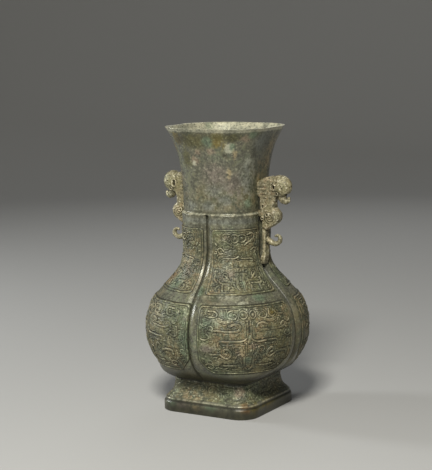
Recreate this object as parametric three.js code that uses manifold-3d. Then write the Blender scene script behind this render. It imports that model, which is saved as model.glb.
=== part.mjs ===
// Bronze hu vessel with a body of four rounded lobes and an animal-head handle on each side.
// Millimetres, +Z up. The origin is the middle of the foot's underside, and the handles stand at -X and +X.
import * as THREE from 'three';
import { mergeVertices } from 'three/addons/utils/BufferGeometryUtils.js';
import Module from 'manifold-3d';

const wasm = await Module();
wasm.setup();
const { clamp, degToRad, lerp, smoothstep } = THREE.MathUtils;

// Heights above the table
const FOOT_BAND_TOP = 12.5;
const FOOT_RIDGE_Z = 16.5;
const BELLY_START = 49;
const BELLY_Z = 122;
const NECK_WAIST_Z = 248;
const COLLAR_Z = 293.5;
const COLLAR_STEP = 2.5;
const HEIGHT = 420;

// Half widths of the square plan, from the axis to the middle of a face
const FOOT_HALF = 78;
const FOOT_WAIST_HALF = 63.5;
const BELLY_HALF = 117.6;
const NECK_WAIST_HALF = 59.2;
const NECK_HALF = 57.3;
const MOUTH_HALF = 82;

// Wall
const WALL = 4;
const FOOT_WALL = 4.5;
const FLOOR = 5;

// Roundness of the plan's corners, as shares of the half width
const FOOT_ROUND = 0.37;
const BELLY_ROUND = 0.92;
const NECK_ROUND = 0.75;

// Valleys that part the lobes
const GROOVE_DEPTH = 5;
const GROOVE_HALF = 8.5;
const GROOVE_RUN = 16;

// Raised panels of a lobe: heights of their edges, and angles of their sides to the lobe's middle
const BELLY_PANEL = { low: 71, high: 170.5, angle: 38, lowAngle: 27 };
const SHOULDER_PANEL = { low: 184, high: 274, angle: 34.5, lowAngle: 34.5 };
const PANEL_RISE = 1;
const PANEL_SLOPE = 0.7;
const CARVING_RISE = 1.2;
const CARVING_ROOT = 1.6;

// Handles, with X outward from the neck's face and Z up from the handle's own base line
const CLEARANCE = 0.3;
const HANDLE_Z = COLLAR_Z - 4.5;
const HANDLE_HALF = 8.5;
const HANDLE_OUT = 33.2;
const HANDLE_UP = 59.5;
const HEAD = { x: 32.2, z: 42.5, half: 11.5, radius: 18.5 };
const CHEST = { x: 22.7, z: 1, half: 10.5, radius: 11 };
const STRAP = { inner: 6.9, outer: 11.5, low: -70, high: 3, half: 7 };
const HOOK = { x: 25.7, z: -35.8, radius: 6.9, thick: 2.5 };
const TRUNK_THICK = 3.5;
const EYE = { x: 27.7, z: 44, half: 1.4, length: 7, depth: 5 };
const BOSS = { x: 38.7, z: 46, radius: 2.6 };

// The two animals were made by hand, and each reaches out by its own share
const LEFT_REACH = 0.95;
const RIGHT_REACH = 1.02;

// Facets
const PANEL_SPANS = 6;
const INNER_SHARES = [-1, -0.84, -0.56, -0.28, 0, 0.28, 0.56, 0.84];

const vec2 = ([x, y]) => new THREE.Vector2(x, y);
const vec3 = ([x, y, z]) => new THREE.Vector3(x, y, z);
const at = (from, to, share) => lerp(from, to, share);
const between = (from, to, shares) => shares.map((share) => lerp(from, to, share));

// Side outline of the body as half width against height, from the foot to the mouth
const outline = new THREE.Path();
outline.moveTo(FOOT_HALF, 0);
outline.lineTo(FOOT_HALF, FOOT_BAND_TOP);
outline.lineTo(FOOT_HALF - 1.6, FOOT_RIDGE_Z);
outline.bezierCurveTo(
  ...[at(FOOT_WAIST_HALF, FOOT_HALF, 0.63), at(FOOT_RIDGE_Z, BELLY_START, 0.31)],
  ...[FOOT_WAIST_HALF, at(FOOT_RIDGE_Z, BELLY_START, 0.14)],
  ...[FOOT_WAIST_HALF, BELLY_START - 0.4],
);
outline.lineTo(FOOT_WAIST_HALF + 1.5, BELLY_START);
outline.bezierCurveTo(
  ...[at(FOOT_WAIST_HALF, BELLY_HALF, 0.456), at(BELLY_START, BELLY_Z, 0.14)],
  ...[BELLY_HALF, at(BELLY_START, BELLY_Z, 0.4)],
  ...[BELLY_HALF, BELLY_Z],
);
outline.bezierCurveTo(
  ...[BELLY_HALF, at(BELLY_Z, NECK_WAIST_Z, 0.555)],
  ...[NECK_WAIST_HALF, at(BELLY_Z, NECK_WAIST_Z, 0.484)],
  ...[NECK_WAIST_HALF, NECK_WAIST_Z],
);
outline.lineTo(NECK_WAIST_HALF + 0.4, COLLAR_Z);
outline.lineTo(NECK_HALF, COLLAR_Z + COLLAR_STEP);
outline.bezierCurveTo(
  ...[NECK_HALF, at(COLLAR_Z, HEIGHT, 0.503)],
  ...[at(NECK_HALF, MOUTH_HALF, 0.21), at(COLLAR_Z, HEIGHT, 0.755)],
  ...[MOUTH_HALF, HEIGHT],
);
const outlinePoints = outline.getPoints(60);

// Straight-line reading of a list of [at, value] pairs
function reading(pairs, at) {
  const next = pairs.findIndex(([mark]) => mark >= at);
  if (next < 0) return pairs.at(-1)[1];
  if (next === 0) return pairs[0][1];
  const [[fromMark, from], [toMark, to]] = [pairs[next - 1], pairs[next]];
  return lerp(from, to, (at - fromMark) / (toMark - fromMark || 1));
}

const halfPairs = outlinePoints.map(({ x, y }) => [y, x]);
const halfAt = (z) => reading(halfPairs, z);

// Share of the half width that is the corner's radius: square foot, nearly round belly, square neck
function roundAt(z) {
  const belly = smoothstep(z, BELLY_START - 2, at(BELLY_START, BELLY_Z, 0.41));
  const neck = smoothstep(z, at(BELLY_Z, NECK_WAIST_Z, 0.635), at(NECK_WAIST_Z, COLLAR_Z, 0.57));
  return lerp(lerp(FOOT_ROUND, BELLY_ROUND, belly), NECK_ROUND, neck);
}

const grooveAt = (z) => (z < COLLAR_Z ? GROOVE_DEPTH * clamp((z - BELLY_START) / GROOVE_RUN, 0, 1) : 0);

// Distance from the axis to a rounded square with valleys, in a direction given from a corner
function sectionRadius(angle, half, round, groove, grooveHalf = GROOVE_HALF) {
  const fromFace = Math.PI / 4 - Math.abs(angle);
  const centre = half * (1 - round);
  const sum = Math.cos(fromFace) + Math.sin(fromFace);
  const corner = centre * sum + Math.sqrt(Math.max((half * round) ** 2 - centre ** 2 * (2 - sum ** 2), 0));
  const radius = half * Math.tan(fromFace) <= centre ? half / Math.cos(fromFace) : corner;
  return radius - groove * clamp(1 - (radius * Math.sin(fromFace)) / grooveHalf, 0, 1);
}

// Angle from a lobe's middle to a panel's side at a height
function sideAngle({ low, high, angle, lowAngle }, z) {
  return degToRad(lerp(lowAngle, angle, smoothstep(z, at(low, high, -0.08), at(low, high, 0.24))));
}

// Angle from a lobe's middle to where its rounded corner or its panel ends
function spanAngle(z) {
  if (z < BELLY_START) return Math.PI / 4 - Math.atan(1 - FOOT_ROUND);
  if (z < BELLY_PANEL.low) {
    const start = Math.PI / 4 - Math.atan(1 - FOOT_ROUND);
    const share = (z - BELLY_START) / (BELLY_PANEL.low - BELLY_START);
    return lerp(start, sideAngle(BELLY_PANEL, BELLY_PANEL.low), share);
  }
  if (z < BELLY_PANEL.high + 1) return sideAngle(BELLY_PANEL, z);
  if (z < COLLAR_Z) return sideAngle(SHOULDER_PANEL, z);
  return Math.PI / 4 - Math.atan(1 - NECK_ROUND);
}

const inPanel = (z) => [BELLY_PANEL, SHOULDER_PANEL].some(({ low, high }) => z > low && z < high);

// Distance from the axis to the outer surface, panels included
function surfaceRadius(angle, z, extra = 0) {
  const radius = sectionRadius(angle, halfAt(z) + extra, roundAt(z), grooveAt(z));
  return inPanel(z) && Math.abs(angle) <= spanAngle(z) + 1e-6 ? radius + PANEL_RISE : radius;
}

// Solid for joining and cutting from a closed geometry
function solid(geometry) {
  const bare = geometry.clone();
  bare.deleteAttribute('normal');
  bare.deleteAttribute('uv');
  const merged = mergeVertices(bare, 1e-4);
  const index = merged.index.array;
  const triVerts = [];
  for (let k = 0; k < index.length; k += 3) {
    const [a, b, c] = [index[k], index[k + 1], index[k + 2]];
    if (a !== b && b !== c && c !== a) triVerts.push(a, b, c);
  }
  const mesh = new wasm.Mesh({
    numProp: 3,
    vertProperties: new Float32Array(merged.attributes.position.array),
    triVerts: new Uint32Array(triVerts),
  });
  return new wasm.Manifold(mesh);
}

// Geometry from a joined or cut solid
function geometryOf(body) {
  const { vertProperties, triVerts } = body.getMesh();
  const geometry = new THREE.BufferGeometry();
  geometry.setAttribute('position', new THREE.BufferAttribute(new Float32Array(vertProperties), 3));
  geometry.setIndex(new THREE.BufferAttribute(new Uint32Array(triVerts), 1));
  geometry.computeVertexNormals();
  return geometry;
}

// Turned shape whose rings are then drawn out to the lobed square, given by a function of angle and height
function lobed(heights, columns, radiusAt) {
  const perLobe = columns(0).length;
  const points = [vec2([0, heights[0]]), ...heights.map((z) => vec2([1, z])), vec2([0, heights.at(-1)])];
  const geometry = new THREE.LatheGeometry(points, 4 * perLobe);
  const position = geometry.attributes.position;
  for (let step = 0; step <= 4 * perLobe; step += 1) {
    const lobe = Math.floor(step / perLobe) % 4;
    points.forEach(({ x, y: z }, ring) => {
      const angle = columns(z)[step % perLobe];
      const radius = x && radiusAt(angle, z);
      const turn = Math.PI / 4 + (lobe * Math.PI) / 2 + angle;
      position.setXYZ(step * points.length + ring, radius * Math.cos(turn), radius * Math.sin(turn), z);
    });
  }
  return geometry;
}

// Directions of the outer form's vertices on one lobe, from one valley up to the next
function outerColumns(z) {
  const span = spanAngle(z);
  const radius = halfAt(z);
  const lip = span + PANEL_SLOPE / radius;
  const valley = Math.max(Math.PI / 4 - Math.atan(GROOVE_HALF / radius), lip + 0.01);
  const inner = Array.from({ length: PANEL_SPANS + 1 }, (_, k) => lerp(-span, span, k / PANEL_SPANS));
  return [-Math.PI / 4, -valley, -lip, ...inner, lip, valley];
}

const innerColumns = () => INNER_SHARES.map((share) => (share * Math.PI) / 4);

const slopeEnds = (z) => [z - PANEL_SLOPE, z + PANEL_SLOPE];
const edges = ({ low, high }) => [...slopeEnds(low), ...slopeEnds(high)];
const [bellyLow, bellyLowTop, bellyHighTop, bellyHigh] = edges(BELLY_PANEL);
const [shoulderLow, shoulderLowTop, shoulderHighTop, shoulderHigh] = edges(SHOULDER_PANEL);
const outerHeights = [
  ...[0, FOOT_BAND_TOP, ...between(FOOT_RIDGE_Z, BELLY_START - 0.4, [0, 0.1, 0.23, 0.48, 1])],
  ...[BELLY_START, at(BELLY_START, bellyLow, 0.42), bellyLow, bellyLowTop],
  ...[...between(bellyLow, BELLY_Z, [0.26, 0.53, 0.78, 1]), ...between(BELLY_Z, bellyHigh, [0.27, 0.6])],
  ...[bellyHighTop, bellyHigh, shoulderLow, shoulderLowTop],
  ...[...between(shoulderLow, NECK_WAIST_Z, [0.2, 0.42, 0.7, 1]), shoulderHighTop, shoulderHigh],
  ...[COLLAR_Z, COLLAR_Z + COLLAR_STEP, ...between(COLLAR_Z, HEIGHT, [0.43, 0.62, 0.76, 0.88, 1])],
];

const bodyForm = (extra) => lobed(outerHeights, outerColumns, (angle, z) => surfaceRadius(angle, z, extra));

// Hollow of the body: the outer form less the wall, over a rounded floor
const floorZ = BELLY_START + FLOOR;
const hollowHeights = [
  ...[floorZ, floorZ + 3, floorZ + 9, ...between(BELLY_START, BELLY_Z, [0.4, 0.62, 1])],
  ...between(BELLY_Z, NECK_WAIST_Z, [0.21, 0.37, 0.49, 0.6, 0.73, 1]),
  ...[COLLAR_Z, ...between(COLLAR_Z, HEIGHT, [0.43, 0.66, 0.85, 1])],
];
function hollowRadius(angle, z) {
  const deep = Math.min(z, HEIGHT);
  const slope = clamp((deep - floorZ) / 6, 0, 1);
  const half = (halfAt(deep) - WALL) * lerp(0.82, 1, slope);
  return sectionRadius(angle, half, roundAt(deep), 0.8 * grooveAt(deep), 1.5 * GROOVE_HALF);
}
const hollow = lobed([...hollowHeights, HEIGHT + 5], innerColumns, hollowRadius);

// Hollow of the foot, open below
const footHeights = [-5, 0, FOOT_BAND_TOP, ...between(FOOT_RIDGE_Z, BELLY_START - FLOOR, [0.2, 0.5, 1])];
const footHollow = lobed(footHeights, innerColumns, (angle, z) => {
  const half = halfAt(Math.max(z, 0)) - FOOT_WALL;
  return sectionRadius(angle, half, FOOT_ROUND, 0);
});

// Shape of a flat stroke: the line through the points, widened to both sides
function stroke(points, width) {
  const line = points.map(vec2);
  const sides = line.map((point, k) => {
    const along = line[Math.min(k + 1, line.length - 1)].clone().sub(line[Math.max(k - 1, 0)]).normalize();
    return new THREE.Vector2(-along.y, along.x).multiplyScalar(width / 2);
  });
  const left = line.map((point, k) => point.clone().add(sides[k]));
  const right = line.map((point, k) => point.clone().sub(sides[k]));
  return new THREE.Shape([...right, ...left.reverse()]);
}

// Raised stroke laid on a lobe's panel, its points given as shares of the panel's half width and height
function carving(panel, lobe, points, width, mirror) {
  const meanRadius = halfAt(at(panel.low, panel.high, 0.5));
  const reach = mirror * degToRad(panel.angle) * meanRadius;
  const shape = stroke(points.map(([x, y]) => [x * reach, at(panel.low, panel.high, y)]), width);
  const depth = CARVING_ROOT + CARVING_RISE;
  const geometry = new THREE.ExtrudeGeometry(shape, { depth, bevelEnabled: false });
  const position = geometry.attributes.position;
  for (let k = 0; k < position.count; k += 1) {
    const [x, z, lift] = [position.getX(k), position.getY(k), position.getZ(k)];
    const angle = x / meanRadius;
    const radius = surfaceRadius(clamp(angle, -spanAngle(z), spanAngle(z)), z) - CARVING_ROOT + lift;
    const turn = Math.PI / 4 + (lobe * Math.PI) / 2 + angle;
    position.setXYZ(k, radius * Math.cos(turn), radius * Math.sin(turn), z);
  }
  return solid(geometry);
}

// Main strokes of a panel's right half: width and points
const bellyStrokes = [
  [3, [[0.035, 0.82], [0.035, 0.6], [0.114, 0.533], [0.33, 0.528], [0.545, 0.503]]],
  [3, [[0.19, 0.668], [0.39, 0.663], [0.61, 0.683], [0.61, 0.754], [0.39, 0.759]]],
  [3.6, [[0.354, 0.392], [0.354, 0.302], [0.53, 0.322], [0.68, 0.251], [0.8, 0.332]]],
  [3.6, [[0.063, 0.432], [0.057, 0.271], [0.089, 0.111], [0.215, 0.09]]],
  [2.6, [[0.924, 0.915], [0.97, 0.744], [0.98, 0.513], [0.95, 0.261]]],
];
const shoulderStrokes = [
  [3, [[0, 0.567], [0.237, 0.522], [0.52, 0.494], [0.83, 0.533]]],
  [3.2, [[0.11, 0.067], [0.09, 0.19], [0.02, 0.27], [0.2, 0.3]]],
  [3, [[0.546, 0.067], [0.309, 0.078], [0.309, 0.178], [0.52, 0.178]]],
];

function carvings(panel, strokes) {
  const bodies = [];
  for (let lobe = 0; lobe < 4; lobe += 1) {
    for (const [width, points] of strokes) {
      bodies.push(carving(panel, lobe, points, width, 1), carving(panel, lobe, points, width, -1));
    }
  }
  return bodies;
}

// Side outline of the animal from the back of its neck, over the head and down the chest to the collar,
// and the line of its trunk, both as shares of how far it stands out and up
const sized = ([x, z]) => [x * HANDLE_OUT, z * HANDLE_UP];
const handleOutline = [
  ...[[-0.099, 0.824], [0.081, 0.891], [0.322, 0.958], [0.623, 1], [0.925, 0.857], [0.985, 0.605]],
  ...[[0.864, 0.471], [0.789, 0.37], [0.789, 0.235], [0.864, 0.168], [1, 0.067], [1, -0.05]],
  ...[[0.864, -0.151], [0.654, -0.235], [0.383, -0.328]],
  ...[[STRAP.inner / HANDLE_OUT, -0.286], [STRAP.inner / HANDLE_OUT, -0.05]],
  ...[[-0.069, 0.017], [-0.069, 0.118], [0.093, 0.168], [0.093, 0.454], [-0.069, 0.521]],
].map(sized);
const trunkLine = [
  ...[[1.045, 0.622], [1.045, 0.471], [1.136, 0.361]],
  ...[[1.286, 0.336], [1.392, 0.387], [1.407, 0.471]],
].map(sized);

const turnUpright = (geometry) => geometry.rotateX(Math.PI / 2);

// Flat shape in the handle's own plane, X outward and Z up, with rounded edges
function slab(points, half, round, steps) {
  const shape = new THREE.Shape(points.map(vec2));
  const bevel = { bevelSize: round, bevelThickness: round, bevelOffset: -round, bevelSegments: steps };
  const geometry = new THREE.ExtrudeGeometry(shape, { ...bevel, depth: 2 * (half - round) });
  return solid(turnUpright(geometry.translate(0, 0, round - half)));
}

// Round bar of even thickness along a line in the handle's plane
function bar(points, thick, sides, steps) {
  const path = new THREE.CatmullRomCurve3(points.map(([x, z]) => vec3([x, 0, z])));
  const ring = new THREE.Path().absarc(0, 0, thick, 0, 2 * Math.PI).getSpacedPoints(sides).slice(0, -1);
  const section = new THREE.Shape(ring);
  return solid(new THREE.ExtrudeGeometry(section, { steps, extrudePath: path, bevelEnabled: false }));
}

function ball({ x, z, half, radius }, across, up) {
  const geometry = new THREE.SphereGeometry(1, across, up).rotateX(Math.PI / 2);
  return solid(geometry.scale(radius, half, radius).translate(x, 0, z));
}

const hookPoints = [[STRAP.outer - 2, HOOK.z - 4.5], [HOOK.x - 7.5, HOOK.z - 7]];
for (let angle = -100; angle <= 134; angle += 26) {
  const turn = degToRad(angle);
  hookPoints.push([HOOK.x + HOOK.radius * Math.cos(turn), HOOK.z + HOOK.radius * Math.sin(turn)]);
}

// Whole handle, with the animal's outward reach drawn in or out
function handleForm(reach) {
  const drawn = (points) => points.map(([x, z]) => [x > STRAP.inner ? x * reach : x, z]);
  const strap = [
    ...[[STRAP.inner, STRAP.high], [STRAP.inner, STRAP.low + 17], [STRAP.inner - 5, STRAP.low + 5]],
    ...[[-3.3, STRAP.low], [STRAP.outer - 3, STRAP.low], [STRAP.outer, STRAP.low + 13]],
    [STRAP.outer, STRAP.high],
  ];
  const tall = EYE.length / 2 / EYE.half;
  const eye = new THREE.CylinderGeometry(EYE.half, EYE.half, EYE.depth, 6).scale(1, 1, tall);
  const boss = new THREE.SphereGeometry(BOSS.radius, 6, 4);
  let form = slab(drawn(handleOutline), HANDLE_HALF, 3, 1)
    .add(slab(strap, STRAP.half, 1.2, 1))
    .add(ball({ ...HEAD, x: HEAD.x * reach }, 12, 8))
    .add(ball({ ...CHEST, x: CHEST.x * reach }, 8, 5))
    .add(bar(drawn(trunkLine), TRUNK_THICK, 6, 5))
    .add(bar(hookPoints, HOOK.thick, 6, 9));
  for (const side of [-1, 1]) {
    form = form
      .subtract(solid(eye.clone().translate(EYE.x * reach, side * HEAD.half, EYE.z)))
      .add(solid(boss.clone().translate(BOSS.x * reach, side * (HEAD.half - 1), BOSS.z)));
  }
  return form;
}

const material = (color, roughness) => new THREE.MeshStandardMaterial({ color, roughness, metalness: 0.6 });

const body = solid(bodyForm(0)).subtract(solid(hollow)).subtract(solid(footHollow));
const vesselBody = wasm.Manifold.union([
  body,
  ...carvings(BELLY_PANEL, bellyStrokes),
  ...carvings(SHOULDER_PANEL, shoulderStrokes),
]);
const bodyWithGap = solid(bodyForm(CLEARANCE).translate(-NECK_HALF, 0, -HANDLE_Z));

const vessel = new THREE.Mesh(geometryOf(vesselBody), material(0x6c6f5c, 0.62));
vessel.name = 'vessel';

// Handle on the side that the turn about the axis gives, set at the collar
function handle(name, reach, turn) {
  const mesh = new THREE.Mesh(geometryOf(handleForm(reach).subtract(bodyWithGap)), material(0x8c8970, 0.6));
  mesh.name = name;
  mesh.position.set(NECK_HALF, 0, HANDLE_Z);
  const side = new THREE.Group();
  side.rotation.z = turn;
  return side.add(mesh);
}

const hu = new THREE.Group();
hu.name = 'bronze_hu_vessel';
hu.add(vessel, handle('left_handle', LEFT_REACH, Math.PI), handle('right_handle', RIGHT_REACH, 0));

export default hu;
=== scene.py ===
"""Bronze hu vessel: a lobed cast body with relief panels, and two animal-head handles.

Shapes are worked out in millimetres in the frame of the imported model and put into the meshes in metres.
"""

import logging
import math
from collections.abc import Sequence
from dataclasses import dataclass
from enum import Enum
from functools import cached_property, partial

import bpy
import numpy as np
from mathutils import Matrix, Vector
from numpy.typing import NDArray


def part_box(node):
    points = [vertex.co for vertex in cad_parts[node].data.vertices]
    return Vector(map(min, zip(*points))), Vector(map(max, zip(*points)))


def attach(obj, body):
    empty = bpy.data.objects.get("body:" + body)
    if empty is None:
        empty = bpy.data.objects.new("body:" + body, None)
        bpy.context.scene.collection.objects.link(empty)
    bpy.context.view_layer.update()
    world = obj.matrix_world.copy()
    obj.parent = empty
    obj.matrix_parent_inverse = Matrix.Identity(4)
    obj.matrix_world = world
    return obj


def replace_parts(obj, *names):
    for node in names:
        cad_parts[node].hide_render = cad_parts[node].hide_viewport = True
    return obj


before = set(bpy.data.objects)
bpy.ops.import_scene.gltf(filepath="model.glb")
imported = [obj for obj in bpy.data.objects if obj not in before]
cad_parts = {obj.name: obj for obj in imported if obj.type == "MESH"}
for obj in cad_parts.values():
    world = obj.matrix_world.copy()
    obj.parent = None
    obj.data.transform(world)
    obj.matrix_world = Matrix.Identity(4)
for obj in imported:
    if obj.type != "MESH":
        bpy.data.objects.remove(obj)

Array = NDArray[np.float64]
Value = Array | float
Point = tuple[float, float]
Place = tuple[float, float, float]
Colour = tuple[float, float, float]

log = logging.getLogger("hu_vessel")
METRE = 0.001
LOBES = 4
QUARTER = math.pi / 4


# Curves and fields


def smooth(value: Value, low: float, high: float) -> Array:
    """Smooth step: t * t * (3 - 2 * t), where t is how far value has come from low to high."""
    t = np.clip((np.asarray(value, float) - low) / (high - low), 0.0, 1.0)
    return t * t * (3.0 - 2.0 * t)


def blend(start: Value, end: Value, share: Value) -> Array:
    """Straight-line mix: start + (end - start) * share."""
    return start + (end - start) * share


def bell(value: Value, middle: float, width: float) -> Array:
    """Bell curve: exp(-((value - middle) / width) ^ 2)."""
    return np.exp(-(((value - middle) / width) ** 2))


def bezier(start: Point, first: Point, second: Point, end: Point, count: int = 60) -> Array:
    """Cubic curve: the four points weighted by (1-t)^3, 3t(1-t)^2, 3t^2(1-t) and t^3.

    Args:
        start: First point, which the curve leaves.
        first: Control point that it leaves towards.
        second: Control point that it arrives from.
        end: Last point.
        count: Number of points worked out.

    Returns:
        Points of the curve, one row each.
    """
    t = np.linspace(0.0, 1.0, count)[:, None]
    weights = ((1 - t) ** 3, 3 * t * (1 - t) ** 2, 3 * t**2 * (1 - t), t**3)
    return sum(weight * np.array(point, float) for weight, point in zip(weights, (start, first, second, end)))


def flowing(points: Sequence[Point], steps: int = 6) -> Array:
    """Smooth line through points: each span is the Catmull-Rom cubic of the four points round it.

    Args:
        points: Points that the line goes through.
        steps: Straight pieces that each span is cut into.

    Returns:
        Points of the smooth line, one row each.
    """
    given = np.array(points, float)
    if len(given) < 3:
        return given
    padded = np.vstack([2 * given[0] - given[1], given, 2 * given[-1] - given[-2]])
    t = np.linspace(0.0, 1.0, steps, endpoint=False)[None, :, None]
    before, here, there, after = (padded[k : k + len(given) - 1][:, None] for k in range(4))
    spans = 0.5 * (
        2 * here
        + (there - before) * t
        + (2 * before - 5 * here + 4 * there - after) * t**2
        + (3 * here - before - 3 * there + after) * t**3
    )
    return np.vstack([spans.reshape(-1, 2), given[-1]])


def line_distance(across: Array, up: Array, line: Array) -> tuple[Array, Array]:
    """Distance to a line of straight spans, each point taken to its nearest place on the nearest span.

    Args:
        across: First coordinate of the field's points.
        up: Second coordinate of the field's points.
        line: Points of the line, one row each.

    Returns:
        Distances, and how far along the line the nearest place is, as a share of its length.
    """
    start, run = line[:-1], np.diff(line, axis=0)
    length = np.hypot(run[:, 0], run[:, 1])
    from_x, from_z = across[..., None] - start[:, 0], up[..., None] - start[:, 1]
    share = np.clip((from_x * run[:, 0] + from_z * run[:, 1]) / length**2, 0.0, 1.0)
    gap = np.hypot(from_x - share * run[:, 0], from_z - share * run[:, 1])
    nearest = gap.argmin(axis=-1)[..., None]
    before = np.concatenate([[0.0], np.cumsum(length)[:-1]])
    along = (before + share * length) / length.sum()
    return np.take_along_axis(gap, nearest, -1)[..., 0], np.take_along_axis(along, nearest, -1)[..., 0]


@dataclass(frozen=True)
class Ripple:
    """Slow unevenness of a hand-made form: the mean of sine waves that run in seeded directions."""

    seed: int
    length: float
    waves: int = 14

    def __call__(self, points: Array) -> Array:
        """Height of the unevenness, about -1 to 1.

        Args:
            points: Points in millimetres, with x, y and z along the last axis.

        Returns:
            One height for each point.
        """
        rng = np.random.default_rng(self.seed)
        direction = rng.normal(size=(self.waves, 3))
        direction /= np.linalg.norm(direction, axis=1, keepdims=True)
        pitch = self.length * rng.uniform(0.7, 1.7, self.waves)
        phase = rng.uniform(0.0, 2 * math.pi, self.waves)
        total = np.zeros(points.shape[:-1])
        for towards, every, shift in zip(direction, pitch, phase):
            total += np.sin(points @ (towards * 2 * math.pi / every) + shift)
        return total / math.sqrt(self.waves * 1.5)


def softened(height: Array, reach: int) -> Array:
    """Field averaged over a square of cells: each axis is a running mean of 2 * reach + 1 cells.

    Args:
        height: The field, of any number of axes.
        reach: Cells averaged on each side.

    Returns:
        The softened field, in the same shape.
    """
    for axis in range(height.ndim):
        ends = [(0, 0)] * height.ndim
        ends[axis] = (reach + 1, reach)
        total = np.cumsum(np.pad(height, ends, mode="edge"), axis=axis)
        size = height.shape[axis]
        upper = np.take(total, np.arange(2 * reach + 1, 2 * reach + 1 + size), axis=axis)
        height = (upper - np.take(total, np.arange(size), axis=axis)) / (2 * reach + 1)
    return height


# Meshes


def make_piece(name: str, points: Array, faces: Sequence[Array], marks: dict[str, Array]) -> bpy.types.Object:
    """Smooth-shaded object at the origin from whole arrays.

    Args:
        name: Name of the piece.
        points: Vertices in millimetres, one row each.
        faces: Arrays of vertex numbers, one row a face, with three or four in a row.
        marks: Values for each vertex, by the name that the finish reads them by.

    Returns:
        The object, linked to the scene.
    """
    mesh = bpy.data.meshes.new(name)
    corners = np.concatenate([part.ravel() for part in faces])
    sizes = np.concatenate([np.full(len(part), part.shape[1]) for part in faces])
    mesh.vertices.add(len(points))
    mesh.vertices.foreach_set("co", (points * METRE).astype(np.float32).ravel())
    mesh.loops.add(len(corners))
    mesh.loops.foreach_set("vertex_index", corners.astype(np.int32))
    mesh.polygons.add(len(sizes))
    mesh.polygons.foreach_set("loop_start", np.concatenate([[0], np.cumsum(sizes)[:-1]]).astype(np.int32))
    mesh.polygons.foreach_set("use_smooth", np.ones(len(sizes), bool))
    for label, values in marks.items():
        mark = mesh.attributes.new(label, "FLOAT", "POINT")
        mark.data.foreach_set("value", values.astype(np.float32).ravel())
    mesh.update(calc_edges=True)
    mesh.validate()
    piece = bpy.data.objects.new(name, mesh)
    bpy.context.scene.collection.objects.link(piece)
    return piece


def quads(rows: Array) -> Array:
    """Faces between a table of vertex numbers, whose rows go up and whose columns go anticlockwise."""
    corners = (rows[:-1, :-1], rows[:-1, 1:], rows[1:, 1:], rows[1:, :-1])
    return np.stack([part.ravel() for part in corners], axis=1)


def stitch(fine: Array, coarse: Array) -> Array:
    """Triangles between two lines of vertex numbers that run side by side, the fine one in front.

    Each fine span takes the coarse vertex nearest its middle, and each coarse span the fine one between.

    Args:
        fine: Vertex numbers of the line with more points.
        coarse: Vertex numbers of the line with fewer.

    Returns:
        Triangles, one row each, wound for a top edge.
    """
    spans, wide = len(fine) - 1, len(coarse) - 1
    nearest = np.floor((np.arange(spans) + 0.5) / spans * wide + 0.5).astype(int)
    fans = np.stack([fine[:-1], fine[1:], coarse[nearest]], axis=1)
    steps = np.nonzero(np.diff(nearest))[0]
    joins = np.stack([fine[steps + 1], coarse[nearest[steps + 1]], coarse[nearest[steps]]], axis=1)
    faces = np.vstack([fans, joins])
    distinct = (faces[:, 0] != faces[:, 1]) & (faces[:, 1] != faces[:, 2]) & (faces[:, 2] != faces[:, 0])
    return faces[distinct]


def slab(front: Array, back: Array, ring: bool) -> tuple[Array, list[Array]]:
    """Closed slab from a fine front and a coarse back that have the same number of rows.

    Args:
        front: Points of the front, rows going up and columns anticlockwise.
        back: Points of the back in the same order. An open slab's first and last columns are the front's.
        ring: Whether the slab goes right round and closes on itself.

    Returns:
        Vertices, and the faces between them.
    """
    rows, columns = front.shape[:2]
    own = back if ring else back[:, 1:-1]
    face = np.arange(rows * columns).reshape(rows, columns)
    rear = rows * columns + np.arange(rows * own.shape[1]).reshape(rows, -1)
    if ring:
        face, rear = (np.hstack([table, table[:, :1]]) for table in (face, rear))
    else:
        rear = np.hstack([face[:, :1], rear, face[:, -1:]])
    faces = [quads(face), quads(rear)[:, ::-1], stitch(face[-1], rear[-1]), stitch(face[0], rear[0])[:, ::-1]]
    return np.vstack([front.reshape(-1, 3), own.reshape(-1, 3)]), faces


def shell(rows: Array) -> tuple[Array, list[Array]]:
    """Closed surface of rings, each of which goes anticlockwise, with the first and last drawn to a pole.

    Args:
        rows: Points of the rings, in the order in which the outline is walked.

    Returns:
        Vertices, and the faces between them.
    """
    body = rows[1:-1]
    count, columns = body.shape[:2]
    table = np.arange(count * columns).reshape(count, columns)
    table = np.hstack([table, table[:, :1]])
    poles = np.array([rows[0].mean(axis=0), rows[-1].mean(axis=0)])
    low = np.full(columns, count * columns)
    fans = [
        np.stack([low, table[0, 1:], table[0, :-1]], axis=1),
        np.stack([table[-1, :-1], table[-1, 1:], low + 1], axis=1),
    ]
    return np.vstack([body.reshape(-1, 3), poles]), [quads(table), *fans]


# Form of the body


@dataclass(frozen=True)
class Panel:
    """Raised panel of a lobe: heights of its edges, and its sides' angles in degrees to the lobe's middle."""

    low: float
    high: float
    angle: float
    low_angle: float

    def side(self, z: Array) -> Array:
        """Angle of the panel's side in radians, which narrows smoothly towards its lower edge."""
        low, high = (blend(self.low, self.high, share) for share in (-0.08, 0.24))
        return np.radians(blend(self.low_angle, self.angle, smooth(z, low, high)))


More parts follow.
